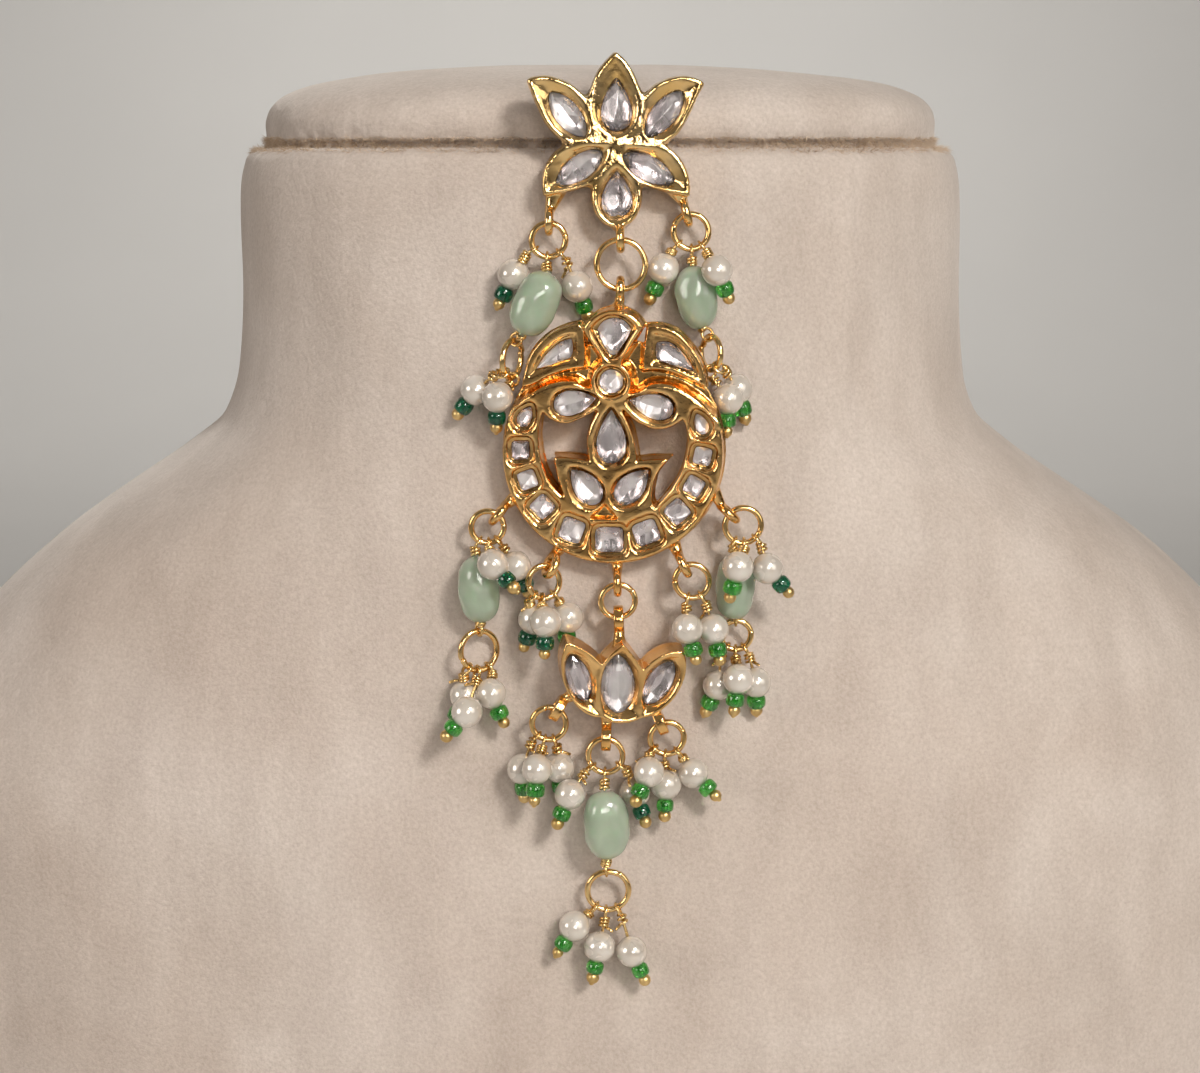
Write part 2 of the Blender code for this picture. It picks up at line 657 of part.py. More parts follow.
def strip_loop(extra):
    """Outline of the foil strip that joins the ring settings."""
    lay = LAYS["crescent"]
    middle = [lay.flat(row[0]) for row in RING_STONES]
    left, right = [], []
    half = STRIP_WIDTH / 2 + extra
    for i, spot in enumerate(middle):
        before = Vector(middle[max(i - 1, 0)])
        after = Vector(middle[min(i + 1, len(middle) - 1)])
        way = (after - before).normalized()
        spot = Vector(spot)
        if i == 0:
            spot = spot - way * extra
        if i == len(middle) - 1:
            spot = spot + way * extra
        side = Vector((-way.y, way.x)) * half
        left.append(tuple(spot + side))
        right.append(tuple(spot - side))
    return left + right[::-1]


def build_castings():
    grow = FIT * 7.7
    outlines = {
        "stud": joined_outline(
            [leaf(*row, 40) for row in STUD_PETALS], (618.0, 145.0), 34,
            [math.atan2(145.0 - v, u - 618.0) for u, v in (
                (615.5, 52.0), (527.5, 79.5), (703.5, 83.0), (543.0, 196.0),
                (689.0, 197.0), (585.5, 92.0), (645.0, 91.5), (665.0, 144.0),
                (557.0, 148.0), (595.0, 188.0), (641.0, 193.0))]),
        "crescent": joined_outline(
            [leaf(*row, 60) for row in CRESCENT_PETALS]
            + [[(LEAF_MIDDLE + k * x, y) for x, y in LEAF_EDGE]
               for k in (-1, 1)],
            (612.5, 446.0), 46,
            [math.atan2(446.0 - v, u - 612.5) for u, v in (
                (520.0, 388.0), (578.0, 323.5), (707.0, 388.0),
                (649.0, 323.5))]),
        "lotus": joined_outline(
            [leaf(*row, 40) for row in LOTUS_PETALS], (625.0, 690.0), 30,
            [math.atan2(690.0 - v, u - 625.0) for u, v in (
                (566.0, 643.0), (682.0, 651.0), (623.0, 643.5),
                (602.0, 667.0), (644.0, 672.0))]),
    }
    holes = {"stud": [], "lotus": [],
             "crescent": [OPENING_LEFT, OPENING_RIGHT]}
    for frame, lay in LAYS.items():
        loops = [[lay.flat(p) for p in outlines[frame]]]
        loops += [[lay.flat(p) for p in hole] for hole in holes[frame]]
        made = plate(frame, loops, 0.0, -lay.thick, EDGE_ROUND, lay.matrix)
        for row in STONES:
            if row[1] == frame:
                cutter = plate("pocket", [stone_loop(row, grow)], 1.0,
                               -STONE_BED, 0.0, lay.matrix)
                combine(made, cutter, "DIFFERENCE")
        if frame == "crescent":
            for row in RING_STONES:
                cutter = plate("pocket", [ring_stone_loop(row, grow)], 1.0,
                               -STONE_BED, 0.0, lay.matrix)
                combine(made, cutter, "DIFFERENCE")
            cutter = plate("groove", [strip_loop(FIT)], 1.0,
                           -STRIP_DEEP - FIT, 0.0, lay.matrix)
            combine(made, cutter, "DIFFERENCE")
        for owner, ring_name, degrees, anchor in CAST_LOOPS:
            if owner != frame:
                continue
            ring = LINKS[ring_name]
            x, y = lay.flat(anchor)
            inside = lay.matrix @ Vector((x, y, -lay.thick * 0.55))
            eye, stem = hook("cast", ring, degrees, inside, CAST_RADIUS,
                             CAST_WIRE, 9, 1, shift=0.18)
            combine(made, eye, "UNION")
            combine(made, stem, "UNION")
        if frame == "stud":
            start, end = post_line()
            combine(made, tube("post", [start, end], POST_RADIUS), "UNION")
        finish(frame + "_frame", made, GOLD, 1.0, 0.25)


def build_stones():
    for row in STONES:
        lay = LAYS[row[1]]
        made = plate(row[0], [stone_loop(row)], 0.35, -STONE_BED + FIT, 0.4,
                     lay.matrix)
        finish(row[0], made, CLEAR, 0.0, 0.05)
    lay = LAYS["crescent"]
    parts = [plate("strip", [strip_loop(0.0)], -STONE_BED + FIT + 0.3,
                   -STRIP_DEEP, 0.0, lay.matrix)]
    for row in RING_STONES:
        parts.append(plate("small", [ring_stone_loop(row)], 0.3,
                           -STONE_BED + FIT, 0.0, lay.matrix))
    finish("ring_stones", union(parts), CLEAR, 0.0, 0.05)


# ================================================================ drops
def build_mints():
    for (name, place, long, wide, turn, lift, upper, upper_at, lower,
         lower_at) in MINTS:
        middle = sight(place, lift)
        scale = steps_at(middle)
        bm = bmesh.new()
        bmesh.ops.create_uvsphere(bm, u_segments=10, v_segments=8, radius=1.0)
        mesh = bpy.data.meshes.new(name)
        bm.to_mesh(mesh)
        bm.free()
        half = wide / scale * MM
        mesh.transform(Matrix.Diagonal((half, half * 0.9, long / scale * MM, 1)))
        tilt = Matrix.Rotation(math.radians(90.0 - turn), 4, "Y")
        made = own(name, mesh, Matrix.Translation(middle * MM) @ tilt)
        axis = tilt.to_3x3() @ Vector((0, 0, long / scale - 0.5))
        parts = [made]
        for ring_name, degrees, end in ((upper, upper_at, middle + axis),
                                        (lower, lower_at, middle - axis)):
            parts += hook(name, LINKS[ring_name], degrees, end, EYE_RADIUS,
                          EYE_WIRE, 7, 0)
        finish(name, union(parts), MINT, 0.0, 0.3, smooth=True)


def dangle_ends(row):
    """Middle of the pearl, middle of the ball, and the way between them."""
    _, _, _, pearl_at, ball_at, lift, lean = row
    pearl = sight(pearl_at, lift)
    other = sight(ball_at, lift)
    flat = other - pearl
    if flat.length > DANGLE_REACH:
        flat = flat.normalized() * DANGLE_REACH
    rise = math.sqrt(max(0.0, DANGLE_REACH ** 2 - flat.length ** 2))
    end = pearl + flat + Vector((0, -lean * min(rise, 1.2), 0))
    way = (end - pearl).normalized()
    return pearl, pearl + way * DANGLE_REACH, way


def build_tassels():
    bunches = {}
    for row in DANGLES:
        bunches.setdefault(row[0], []).append(row)
    for name, rows in bunches.items():
        parts, tops = [], []
        for row in rows:
            pearl, end, way = dangle_ends(row)
            ring = LINKS[row[1]]
            parts.append(ball("pearl", pearl, PEARL, 2))
            parts.append(drum("seed", pearl + way * (PEARL + SEED_LONG / 2 - 0.15),
                              way, SEED, SEED_LONG))
            parts.append(ball("head", end, BALL, 1))
            parts += hook("wire", ring, row[2], pearl, EYE_RADIUS, EYE_WIRE,
                          7, 0)
            hold = ring.at(row[2])
            inward = (ring.centre - hold).normalized()
            tops.append(hold + inward * EYE_RADIUS * 0.86)
        if name not in TOUCHING:
            ring = LINKS[rows[0][1]]
            path = [tops[0]]
            for before, after in zip(tops, tops[1:]):
                if (after - before).length > 1.3:
                    path.append(ring.centre
                                + (before + after - ring.centre * 2) * 0.12)
                path.append(after)
            parts.append(tube("tail", path, EYE_WIRE, resolution=0))
        finish(name, union(parts), CREAM, 0.0, 0.2, smooth=True)


build_bust()
build_castings()
build_stones()
build_rings()
build_mints()
build_tassels()

CUTTERS.hide_render = True
for left in list(CUTTERS.objects):
    left.hide_render = True
    left.display_type = "WIRE"
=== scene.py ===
"""Looks of the tassel earring on its velvet neck bust.

Metres, +Z up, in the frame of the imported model.  Sizes in the tables are
millimetres; places headed "view" are read off the front view in steps
(across, down) and carried along the line of sight onto the piece they sit on.
"""
import json
import math
import random

import bmesh
import bpy
import numpy as np
from mathutils import Matrix, Vector, noise

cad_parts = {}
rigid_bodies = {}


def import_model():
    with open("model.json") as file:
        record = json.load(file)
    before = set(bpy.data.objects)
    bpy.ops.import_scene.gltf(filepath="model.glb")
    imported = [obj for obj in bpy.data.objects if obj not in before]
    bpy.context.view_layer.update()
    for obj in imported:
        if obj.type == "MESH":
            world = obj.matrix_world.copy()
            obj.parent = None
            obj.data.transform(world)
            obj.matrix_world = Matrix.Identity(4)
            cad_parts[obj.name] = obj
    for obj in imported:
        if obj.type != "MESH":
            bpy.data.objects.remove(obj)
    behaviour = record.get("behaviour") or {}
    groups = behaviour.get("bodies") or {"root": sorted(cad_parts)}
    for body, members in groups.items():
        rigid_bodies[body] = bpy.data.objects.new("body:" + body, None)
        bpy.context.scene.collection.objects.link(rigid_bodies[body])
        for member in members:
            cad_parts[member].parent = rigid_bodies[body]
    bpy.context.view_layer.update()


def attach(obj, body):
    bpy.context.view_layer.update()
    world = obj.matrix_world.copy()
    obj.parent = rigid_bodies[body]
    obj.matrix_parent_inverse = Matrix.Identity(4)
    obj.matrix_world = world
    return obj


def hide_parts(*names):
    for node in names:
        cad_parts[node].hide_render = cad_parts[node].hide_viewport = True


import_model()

MM = 0.001
TAU = 2 * math.pi

# ---------------------------------------------------------------- the view
SEAM = 195.0
EYE = Vector((0.0, -340.0, SEAM))
VIEW_STEPS = 2200.0
VIEW_MID = (600.0, 536.5)
VIEW_DROP = math.radians(10.1)

# ---------------------------------------------------------------- the bust
# level from the seam, half width, front depth, back depth, squareness
BUST = (
    (-195.0, 104.0, 59.0, 56.0, 2.3),
    (-193.0, 106.5, 61.0, 58.0, 2.3),
    (-150.0, 113.0, 60.5, 58.0, 2.3),
    (-116.0, 116.0, 57.5, 56.5, 2.3),
    (-97.0, 114.0, 55.5, 55.0, 2.35),
    (-84.0, 107.5, 54.0, 54.0, 2.4),
    (-72.0, 97.5, 53.0, 53.0, 2.4),
    (-59.0, 83.5, 52.4, 52.4, 2.45),
    (-51.0, 72.0, 52.1, 52.0, 2.5),
    (-44.5, 62.5, 51.7, 51.6, 2.5),
    (-39.5, 57.0, 51.4, 51.3, 2.5),
    (-33.0, 54.8, 51.1, 51.1, 2.5),
    (-20.0, 53.8, 50.6, 50.6, 2.5),
    (-7.0, 53.5, 50.2, 50.2, 2.5),
    (-2.2, 52.6, 49.4, 49.4, 2.5),
    (-0.7, 51.0, 48.0, 48.0, 2.5),
    (-0.35, 49.0, 46.0, 46.0, 2.5),
    (0.35, 48.8, 45.8, 45.8, 2.5),
    (0.8, 49.4, 47.2, 47.2, 2.5),
    (2.8, 49.6, 47.7, 47.7, 2.5),
    (4.6, 49.2, 47.2, 47.2, 2.5),
    (6.4, 47.8, 45.6, 45.6, 2.5),
    (8.2, 44.0, 42.0, 42.0, 2.5),
    (9.8, 36.0, 34.5, 34.5, 2.45),
    (11.0, 24.0, 23.0, 23.0, 2.3),
    (11.6, 11.0, 10.3, 10.3, 2.2),
    (11.8, 0.4, 0.4, 0.4, 2.2),
)

# frame: view middle, lift of the front face, thickness, turn, lean
FRAMES = {
    "stud": ((618.0, 145.0), 4.0, 3.1, 0.0, 0.0),
    "crescent": ((612.0, 446.0), 5.7, 3.2, 6.0, 4.0),
    "lotus": ((625.0, 684.0), 6.0, 3.6, -6.0, 5.0),
}
POST_LENGTH = 11.0
POST_RADIUS = 0.45

# cups of the castings: the crest line of each raised rim, view places,
# a third value 1 marks a point or corner
STUD_CUPS = (
    ((615.5, 55, 1), (627, 67), (635, 83), (640, 101), (638.5, 117), (631, 131),
     (617, 138.5), (603, 131), (594, 119), (591, 104), (594, 87), (601, 71)),
    ((530, 81, 1), (543, 78.5), (557, 81), (571, 88), (582, 99), (588.5, 113),
     (592, 128), (587, 137.5, 1), (573, 140), (560, 135), (549, 123.5),
     (541.5, 109), (535, 94)),
    ((701, 84, 1), (688, 79), (673, 80), (657, 87), (646.5, 99), (642, 114),
     (643.5, 129), (650, 138.5, 1), (664, 139.5), (677, 130), (687, 113),
     (694.5, 97)),
    ((546, 193.5, 1), (545, 179), (549, 165), (558, 153), (573, 146),
     (592, 143.5), (613, 145, 1), (609, 158), (601, 171), (588.5, 181.5),
     (574, 187.5), (559, 190.5)),
    ((687, 194.5, 1), (686.5, 179), (681, 165), (670.5, 153), (655, 147),
     (637, 145.5), (621, 145, 1), (625, 159), (634, 172), (646, 182),
     (660, 187.5), (674, 191)),
    ((617, 163, 1), (628, 172), (636, 183), (639, 196), (637, 209), (629.5, 220),
     (617, 225), (605, 221), (597, 210), (594.5, 196), (597.5, 183), (606, 172)),
)
STUD_WEBS = ((598.5, 136.0), (637.5, 136.0), (584.0, 138.5), (652.0, 139.0))
LOTUS_CUPS = (
    ((567.5, 644, 1), (579, 648.5), (591.5, 656.5), (602.5, 667, 1), (600, 680),
     (599, 692), (600, 704), (602, 715, 1), (591, 714), (579.5, 706.5),
     (571, 695.5), (565.5, 683), (563, 670), (563.5, 656)),
    ((623, 646, 1), (630, 654), (636.5, 662.5), (643.5, 672, 1), (642.5, 684),
     (641.5, 696), (640.5, 706), (640, 716, 1), (630, 720.5), (620.5, 721.5),
     (611, 720), (602, 715, 1), (600, 704), (599, 692), (600, 680),
     (602.5, 667, 1), (608, 659), (615.5, 652)),
    ((643.5, 672, 1), (653, 662), (664, 655.5), (674.5, 653), (682.5, 653.5, 1),
     (684.5, 663), (683.5, 674), (679.5, 685.5), (672.5, 697), (663, 706.5),
     (652, 713.5), (640, 716, 1), (640.5, 706), (641.5, 696), (642.5, 684)),
)
# the crescent: upper edge of the two arms, crown pieces and their wells
ARMS = (
    (718, 431), (711, 413), (698, 399.5), (681, 388.5), (664, 383),
    (648, 384.5), (633, 393), (590, 388), (575, 381), (560, 381), (545, 385),
    (530, 393), (517.5, 404.5), (507, 421),
)
FAN = ((582, 328, 1), (589, 318.5), (600, 311.5), (612, 308.5), (625, 310.5),
       (636.5, 317), (644.5, 327, 1), (638, 336.5), (631, 347), (624, 358),
       (622, 368, 1), (601, 368, 1), (600, 357), (593.5, 347.5), (587, 338))
FAN_WELL = ((591, 328.5, 1), (600, 319), (612, 315), (625, 318.5),
            (635, 328.5, 1), (628.5, 340), (619, 355.5), (612.5, 359),
            (606.5, 355.5), (597.5, 342))
FAN_STONE = ((597.5, 330, 1), (603, 322), (613.5, 318.5), (624, 321.5),
             (630.5, 330, 1), (626.5, 339), (620, 349), (616, 354.5),
             (609.5, 354.5), (604, 346.5), (600, 338))
LEAF_LEFT = ((520.5, 388.5, 1), (523, 374), (528.5, 357), (537, 344.5),
             (549, 334), (563, 327.5), (578.5, 323.5, 1), (584, 328, 1),
             (585, 347), (584, 368.5, 1), (568, 370.5), (550, 376),
             (534, 384.5))
LEAF_LEFT_WELL = ((529.5, 377, 1), (534, 364), (542, 352), (552.5, 342.5),
                  (564, 336), (575, 334.5, 1), (576.5, 347), (575, 361, 1),
                  (563, 363.5), (550, 367.5), (539, 372.5))
LEAF_LEFT_STONE = ((536, 369.5, 1), (542, 359.5), (550.5, 350.5), (561, 342.5),
                   (570.5, 339.5, 1), (572.5, 349), (570, 358.5, 1),
                   (558, 362.5), (546.5, 367))
LEAF_RIGHT = ((646.5, 326, 1), (662, 326.5), (677, 332.5), (690, 345),
              (699.5, 359), (705, 373), (706.5, 389, 1), (694, 383),
              (679, 376), (661, 371), (642.5, 371, 1), (643.5, 348))
LEAF_RIGHT_WELL = ((652, 334, 1), (666, 335.5), (678.5, 342), (688.5, 353.5),
                   (696, 366.5), (700.5, 380.5, 1), (687, 373.5),
                   (672, 367.5), (651.5, 364.5, 1), (651, 349))
LEAF_RIGHT_STONE = ((656.5, 343.5, 1), (668.5, 343), (679, 350), (687.5, 360),
                    (693.5, 371, 1), (684, 370), (672, 365), (657, 360.5, 1),
                    (655.5, 352))
ROUND = ((611.0, 382.0), 21.0, 15.4)
PIT = ((591, 518, 1), (604, 505, 1), (616.5, 519, 1))
OPENINGS = (
    ((543.0, 414.0, 1), (553.0, 422.0), (567.0, 424.5), (582.0, 419.0),
     (596.0, 411.5, 1), (588.5, 427.0), (585.5, 442.0), (588.0, 460.0, 1),
     (572.0, 457.0), (553.0, 456.5, 1), (555.5, 474.0), (562.0, 494.5, 1),
     (551.0, 482.0), (544.5, 468.0), (540.5, 451.0), (539.5, 432.0)),
    ((623.0, 411.0, 1), (631.0, 419.0), (641.0, 425.5), (654.0, 430.5),
     (669.0, 429.0), (682.5, 421.0, 1), (686.0, 434.0), (685.5, 452.0),
     (680.0, 472.0), (670.0, 489.0), (655.5, 506.5, 1), (653.0, 496.0),
     (657.0, 477.0), (671.5, 458.5, 1), (654.0, 458.5), (638.0, 460.0, 1),
     (635.0, 440.0), (630.0, 425.0)),
)

# stones: name, frame, view middle, half length, half width, turn, point, taper
STONES = (
    ("stud_stone_1", "stud", (616.5, 104.5), 26.5, 15.2, 90.0, 1.0, 0.9),
    ("stud_stone_2", "stud", (567.5, 114.5), 28.0, 12.6, 128.4, 1.4, 0.0),
    ("stud_stone_3", "stud", (664.5, 113.5), 28.5, 12.6, 51.6, 1.4, 0.0),
    ("stud_stone_4", "stud", (579.0, 168.0), 28.0, 12.2, 214.8, 1.3, 0.2),
    ("stud_stone_5", "stud", (649.5, 169.0), 29.0, 12.6, -28.8, 1.3, 0.2),
    ("stud_stone_6", "stud", (617.0, 194.5), 22.5, 15.2, 90.0, 1.0, 0.8),
    ("crescent_stone_2", "crescent", (611.0, 382.0), 11.8, 11.8, 0.0, 1.0, 0.0),
    ("crescent_stone_5", "crescent", (574.5, 403.0), 21.5, 12.5, 11.0, 1.0, 0.8),
    ("crescent_stone_6", "crescent", (651.0, 406.5), 22.5, 12.4, 165.0, 1.0, 0.8),
    ("crescent_stone_7", "crescent", (611.0, 437.5), 27.0, 14.8, 90.0, 1.0, 0.9),
    ("crescent_stone_8", "crescent", (585.0, 487.0), 21.5, 13.0, 130.0, 1.1, 0.6),
    ("crescent_stone_9", "crescent", (632.0, 487.0), 22.5, 13.0, 45.0, 1.1, 0.6),
    ("lotus_stone_1", "lotus", (579.2, 680.0), 24.0, 11.4, 110.0, 1.25, 0.0),
    ("lotus_stone_2", "lotus", (618.6, 685.5), 29.0, 16.6, 90.0, 1.1, 0.2),
    ("lotus_stone_3", "lotus", (659.8, 684.5), 25.0, 12.0, 57.0, 1.25, 0.0),
)
CROWN_STONES = (
    ("crescent_stone_1", FAN_STONE), ("crescent_stone_3", LEAF_LEFT_STONE),
    ("crescent_stone_4", LEAF_RIGHT_STONE),
)
RING_STONES = (
    ((524.8, 417.0), 11.0, 7.0, 62.0, 0.7),
    ((520.0, 451.0), 8.4, 9.0, 3.0, 0.0),
    ((527.0, 480.5), 8.8, 8.8, 20.0, 0.0),
    ((542.0, 507.5), 9.8, 9.8, 43.0, 0.0),
    ((571.5, 531.0), 11.2, 11.0, -20.0, 0.0),
    ((609.0, 540.5), 13.6, 12.0, 0.0, 0.0),
    ((645.8, 533.5), 12.0, 11.2, 21.0, 0.0),
    ((677.0, 512.5), 10.4, 10.4, 42.0, 0.0),
    ((693.8, 487.0), 9.0, 9.0, 60.0, 0.0),
    ((702.3, 457.0), 8.6, 8.6, 78.0, 0.0),
    ((700.5, 424.5), 11.0, 6.8, 112.0, 0.7),
)

# ---------------------------------------------------------------- the links
RINGS = {
    "ring_1": ((548.5, 240.0), 39.0, 3.0, 0.0, 0.0),
    "ring_2": ((691.0, 231.5), 40.0, 3.0, 0.0, 0.0),
    "ring_3": ((621.0, 264.5), 54.0, 3.6, 0.0, 0.0),
    "ring_4": ((512.0, 359.0), 43.0, 3.6, 62.0, -12.0),
    "ring_5": ((711.0, 353.0), 39.0, 3.6, -60.0, 12.0),
    "ring_6": ((487.5, 527.0), 37.5, 3.0, 0.0, 0.0),
    "ring_7": ((743.0, 525.5), 41.0, 4.6, 0.0, 0.0),
    "ring_8": ((544.0, 582.0), 38.0, 3.6, 22.0, 0.0),
    "ring_9": ((692.0, 581.0), 39.0, 4.6, 0.0, 0.0),
    "ring_10": ((618.0, 601.0), 39.0, 3.8, 0.0, 0.0),
    "ring_11": ((479.0, 650.5), 45.0, 2.2, 30.0, 0.0),
    "ring_12": ((736.0, 635.0), 35.0, 2.4, 0.0, 0.0),
    "ring_13": ((549.0, 723.5), 38.5, 4.2, 0.0, 0.0),
    "ring_14": ((605.5, 755.5), 39.5, 3.8, 0.0, 0.0),
    "ring_15": ((667.0, 738.0), 38.5, 3.6, 0.0, 0.0),
    "ring_16": ((608.0, 890.5), 45.5, 2.6, 0.0, 0.0),
}
# where each jump ring is cut, degrees round the ring
RING_CUTS = {
    "ring_1": 20, "ring_2": 160, "ring_3": 200, "ring_4": 30, "ring_5": 150,
    "ring_6": 10, "ring_7": -20, "ring_8": 190, "ring_9": 178, "ring_10": 40,
    "ring_11": 200, "ring_12": 15, "ring_13": 100, "ring_14": 200,
    "ring_15": 30, "ring_16": 60,
}
RING_WIRE = 0.33
# frame, ring, place round the ring, view anchor, square section
CAST_LOOPS = (
    ("stud", "ring_1", 88.0, (556.0, 190.0), 0),
    ("stud", "ring_2", 105.0, (676.0, 188.0), 0),
    ("stud", "ring_3", 92.0, (618.0, 222.0), 0),
    ("crescent", "ring_3", -92.0, (615.0, 318.0), 0),
    ("crescent", "ring_6", 50.0, (514.0, 500.0), 0),
    ("crescent", "ring_7", 138.0, (711.0, 490.0), 0),
    ("crescent", "ring_8", 65.0, (560.0, 549.0), 0),
    ("crescent", "ring_9", 118.0, (672.0, 545.0), 0),
    ("crescent", "ring_10", 92.0, (616.0, 559.0), 0),
    ("lotus", "ring_10", -88.0, (621.0, 651.0), 1),
    ("lotus", "ring_13", 60.0, (577.0, 697.5), 1),
    ("lotus", "ring_14", 88.0, (608.5, 714.0), 1),
    ("lotus", "ring_15", 112.0, (652.5, 704.5), 1),
)
CAST_RADIUS = 1.35
CAST_WIRE = 0.55
# mint beads: view middle, half length, half width, turn, lift,
# upper ring and place, lower ring and place
MINTS = (
    ("mint_bead_1", (535.0, 303.5), 33.5, 23.0, 66.0, 4.4,
     "ring_1", -95.0, "ring_4", 86.0),
    ("mint_bead_2", (696.5, 297.5), 32.0, 20.3, 99.0, 3.0,
     "ring_2", -88.0, "ring_5", 94.0),
    ("mint_bead_3", (479.0, 589.5), 33.5, 20.8, 95.0, 3.2,
     "ring_6", -122.0, "ring_11", 90.0),
    ("mint_bead_4", (735.5, 586.0), 34.0, 20.0, 88.0, 3.2,
     "ring_7", -118.0, "ring_12", 92.0),
    ("mint_bead_5", (606.0, 825.0), 35.0, 23.0, 93.0, 4.6,
     "ring_14", -92.0, "ring_16", 95.0),
)
EYE_RADIUS = 0.85
EYE_WIRE = 0.205
# dangles: bunch, ring, place round the ring, view middle of the pearl,
# view middle of the ball, pearl lift, lean of the ball, dark bead, dark
DANGLES = (
    ("tassel_1", "ring_1", -148.0, (513.0, 274.5), (499.0, 304.0), 2.25, -1, 1),
    ("tassel_1", "ring_1", -48.0, (577.0, 286.5), (587.0, 315.0), 2.3, -1, 0),
    ("tassel_2", "ring_2", -136.0, (663.5, 269.0), (650.0, 299.0), 2.5, 1, 0),
    ("tassel_2", "ring_2", -52.0, (717.0, 270.5), (728.5, 297.0), 5.8, -1, 0),
    ("tassel_3", "ring_4", -128.0, (476.0, 390.0), (457.5, 415.0), 2.5, -1, 1),
    ("tassel_3", "ring_4", -70.0, (497.5, 397.0), (496.0, 428.0), 4.6, -1, 1),
    ("tassel_4", "ring_5", -110.0, (728.0, 399.0), (727.0, 433.0), 4.2, -1, 0),
    ("tassel_4", "ring_5", -60.0, (737.0, 389.0), (745.5, 419.0), 2.5, -1, 0),
    ("tassel_5", "ring_6", -84.0, (493.0, 564.5), (512.5, 584.0), 6.4, 1, 1),
    ("tassel_5", "ring_6", -52.0, (516.0, 566.0), (527.0, 592.0), 2.9, -1, 1),
    ("tassel_6", "ring_11", -128.0, (465.0, 695.5), (452.0, 724.0), 2.5, -1, 0),
    ("tassel_6", "ring_11", -60.0, (491.0, 693.5), (504.5, 724.0), 3.2, -1, 0),
    ("tassel_6", "ring_11", -98.0, (467.0, 712.0), (444.0, 739.0), 6.0, -1, 0),
    ("tassel_7", "ring_8", -130.0, (534.0, 619.0), (524.0, 648.0), 3.0, -1, 1),
    ("tassel_7", "ring_8", -100.0, (545.5, 622.0), (544.5, 655.0), 5.8, -1, 1),
    ("tassel_7", "ring_8", -52.0, (568.0, 617.5), (566.0, 646.0), 2.5, -1, 0),
    ("tassel_8", "ring_9", -104.0, (687.5, 629.0), (696.5, 661.0), 6.4, -1, 0),
    ("tassel_8", "ring_9", -58.0, (713.5, 629.0), (720.0, 661.5), 4.9, -1, 0),
    ("tassel_9", "ring_7", -86.0, (738.0, 567.0), (730.5, 598.0), 8.2, -1, 0),
    ("tassel_9", "ring_7", -44.0, (767.5, 568.5), (790.0, 594.0), 7.0, -1, 1),
    ("tassel_10", "ring_12", -128.0, (718.0, 685.0), (707.0, 712.0), 2.6, -1, 0),
    ("tassel_10", "ring_12", -92.0, (738.0, 679.0), (733.5, 714.0), 5.0, -1, 0),
    ("tassel_10", "ring_12", -56.0, (756.0, 682.5), (757.0, 709.0), 2.6, -1, 0),
    ("tassel_11", "ring_13", -134.0, (522.0, 769.0), (524.0, 799.0), 3.0, -1, 0),
    ("tassel_11", "ring_13", -106.0, (537.0, 769.0), (534.0, 805.0), 5.9, -1, 0),
    ("tassel_11", "ring_13", -72.0, (559.0, 767.5), (560.5, 797.0), 2.5, -1, 0),
    ("tassel_12", "ring_14", -142.0, (570.0, 794.5), (556.5, 826.0), 5.0, -1, 0),
    ("tassel_12", "ring_14", -34.0, (634.5, 792.0), (645.0, 818.5), 2.3, 1, 1),
    ("tassel_13", "ring_15", -142.0, (649.0, 772.0), (635.5, 799.0), 5.4, 1, 0),
    ("tassel_13", "ring_15", -96.0, (666.0, 784.5), (664.5, 820.0), 3.2, 1, 0),
    ("tassel_13", "ring_15", -52.0, (693.0, 773.0), (715.0, 793.0), 3.0, 1, 0),
    ("tassel_14", "ring_16", -128.0, (574.5, 926.0), (556.0, 955.5), 3.0, 1, 0),
    ("tassel_14", "ring_16", -96.0, (599.5, 947.0), (592.0, 980.5), 3.4, 1, 0),
    ("tassel_14", "ring_16", -62.0, (632.0, 951.5), (646.5, 984.0), 3.2, 1, 0),
)
PEARL = 2.08
SEED = 1.22
SEED_LONG = 1.7
BALL = 0.8
DANGLE_REACH = 4.22


# ================================================================ geometry
def section(level):
    rows = BUST
    if level <= rows[0][0]:
        return rows[0][1:]
    for low, high in zip(rows, rows[1:]):
        if level <= high[0]:
            part = (level - low[0]) / (high[0] - low[0])
            return tuple(a + (b - a) * part for a, b in zip(low[1:], high[1:]))
    return rows[-1][1:]


def velvet(x, z):
    half, front, _, square = section(min(z - SEAM, -7.0))
    inside = max(0.0, 1.0 - (abs(x) / half) ** square)
    return -front * inside ** (1.0 / square)


def look(across, down):
    forward = Vector((0.0, math.cos(VIEW_DROP), -math.sin(VIEW_DROP)))
    upward = Vector((0.0, math.sin(VIEW_DROP), math.cos(VIEW_DROP)))
    return (forward
            + Vector((1.0, 0.0, 0.0)) * ((across - VIEW_MID[0]) / VIEW_STEPS)
            + upward * ((VIEW_MID[1] - down) / VIEW_STEPS))


def sight(place, lift):
    way = look(*place)
    near, far = 200.0, 400.0
    for _ in range(40):
        mid = (near + far) / 2
        spot = EYE + way * mid
        if spot.y < velvet(spot.x, spot.z) - lift:
            near = mid
        else:
            far = mid
    return EYE + way * near


def steps_at(spot):
    forward = Vector((0.0, math.cos(VIEW_DROP), -math.sin(VIEW_DROP)))
    return VIEW_STEPS / (spot - EYE).dot(forward)


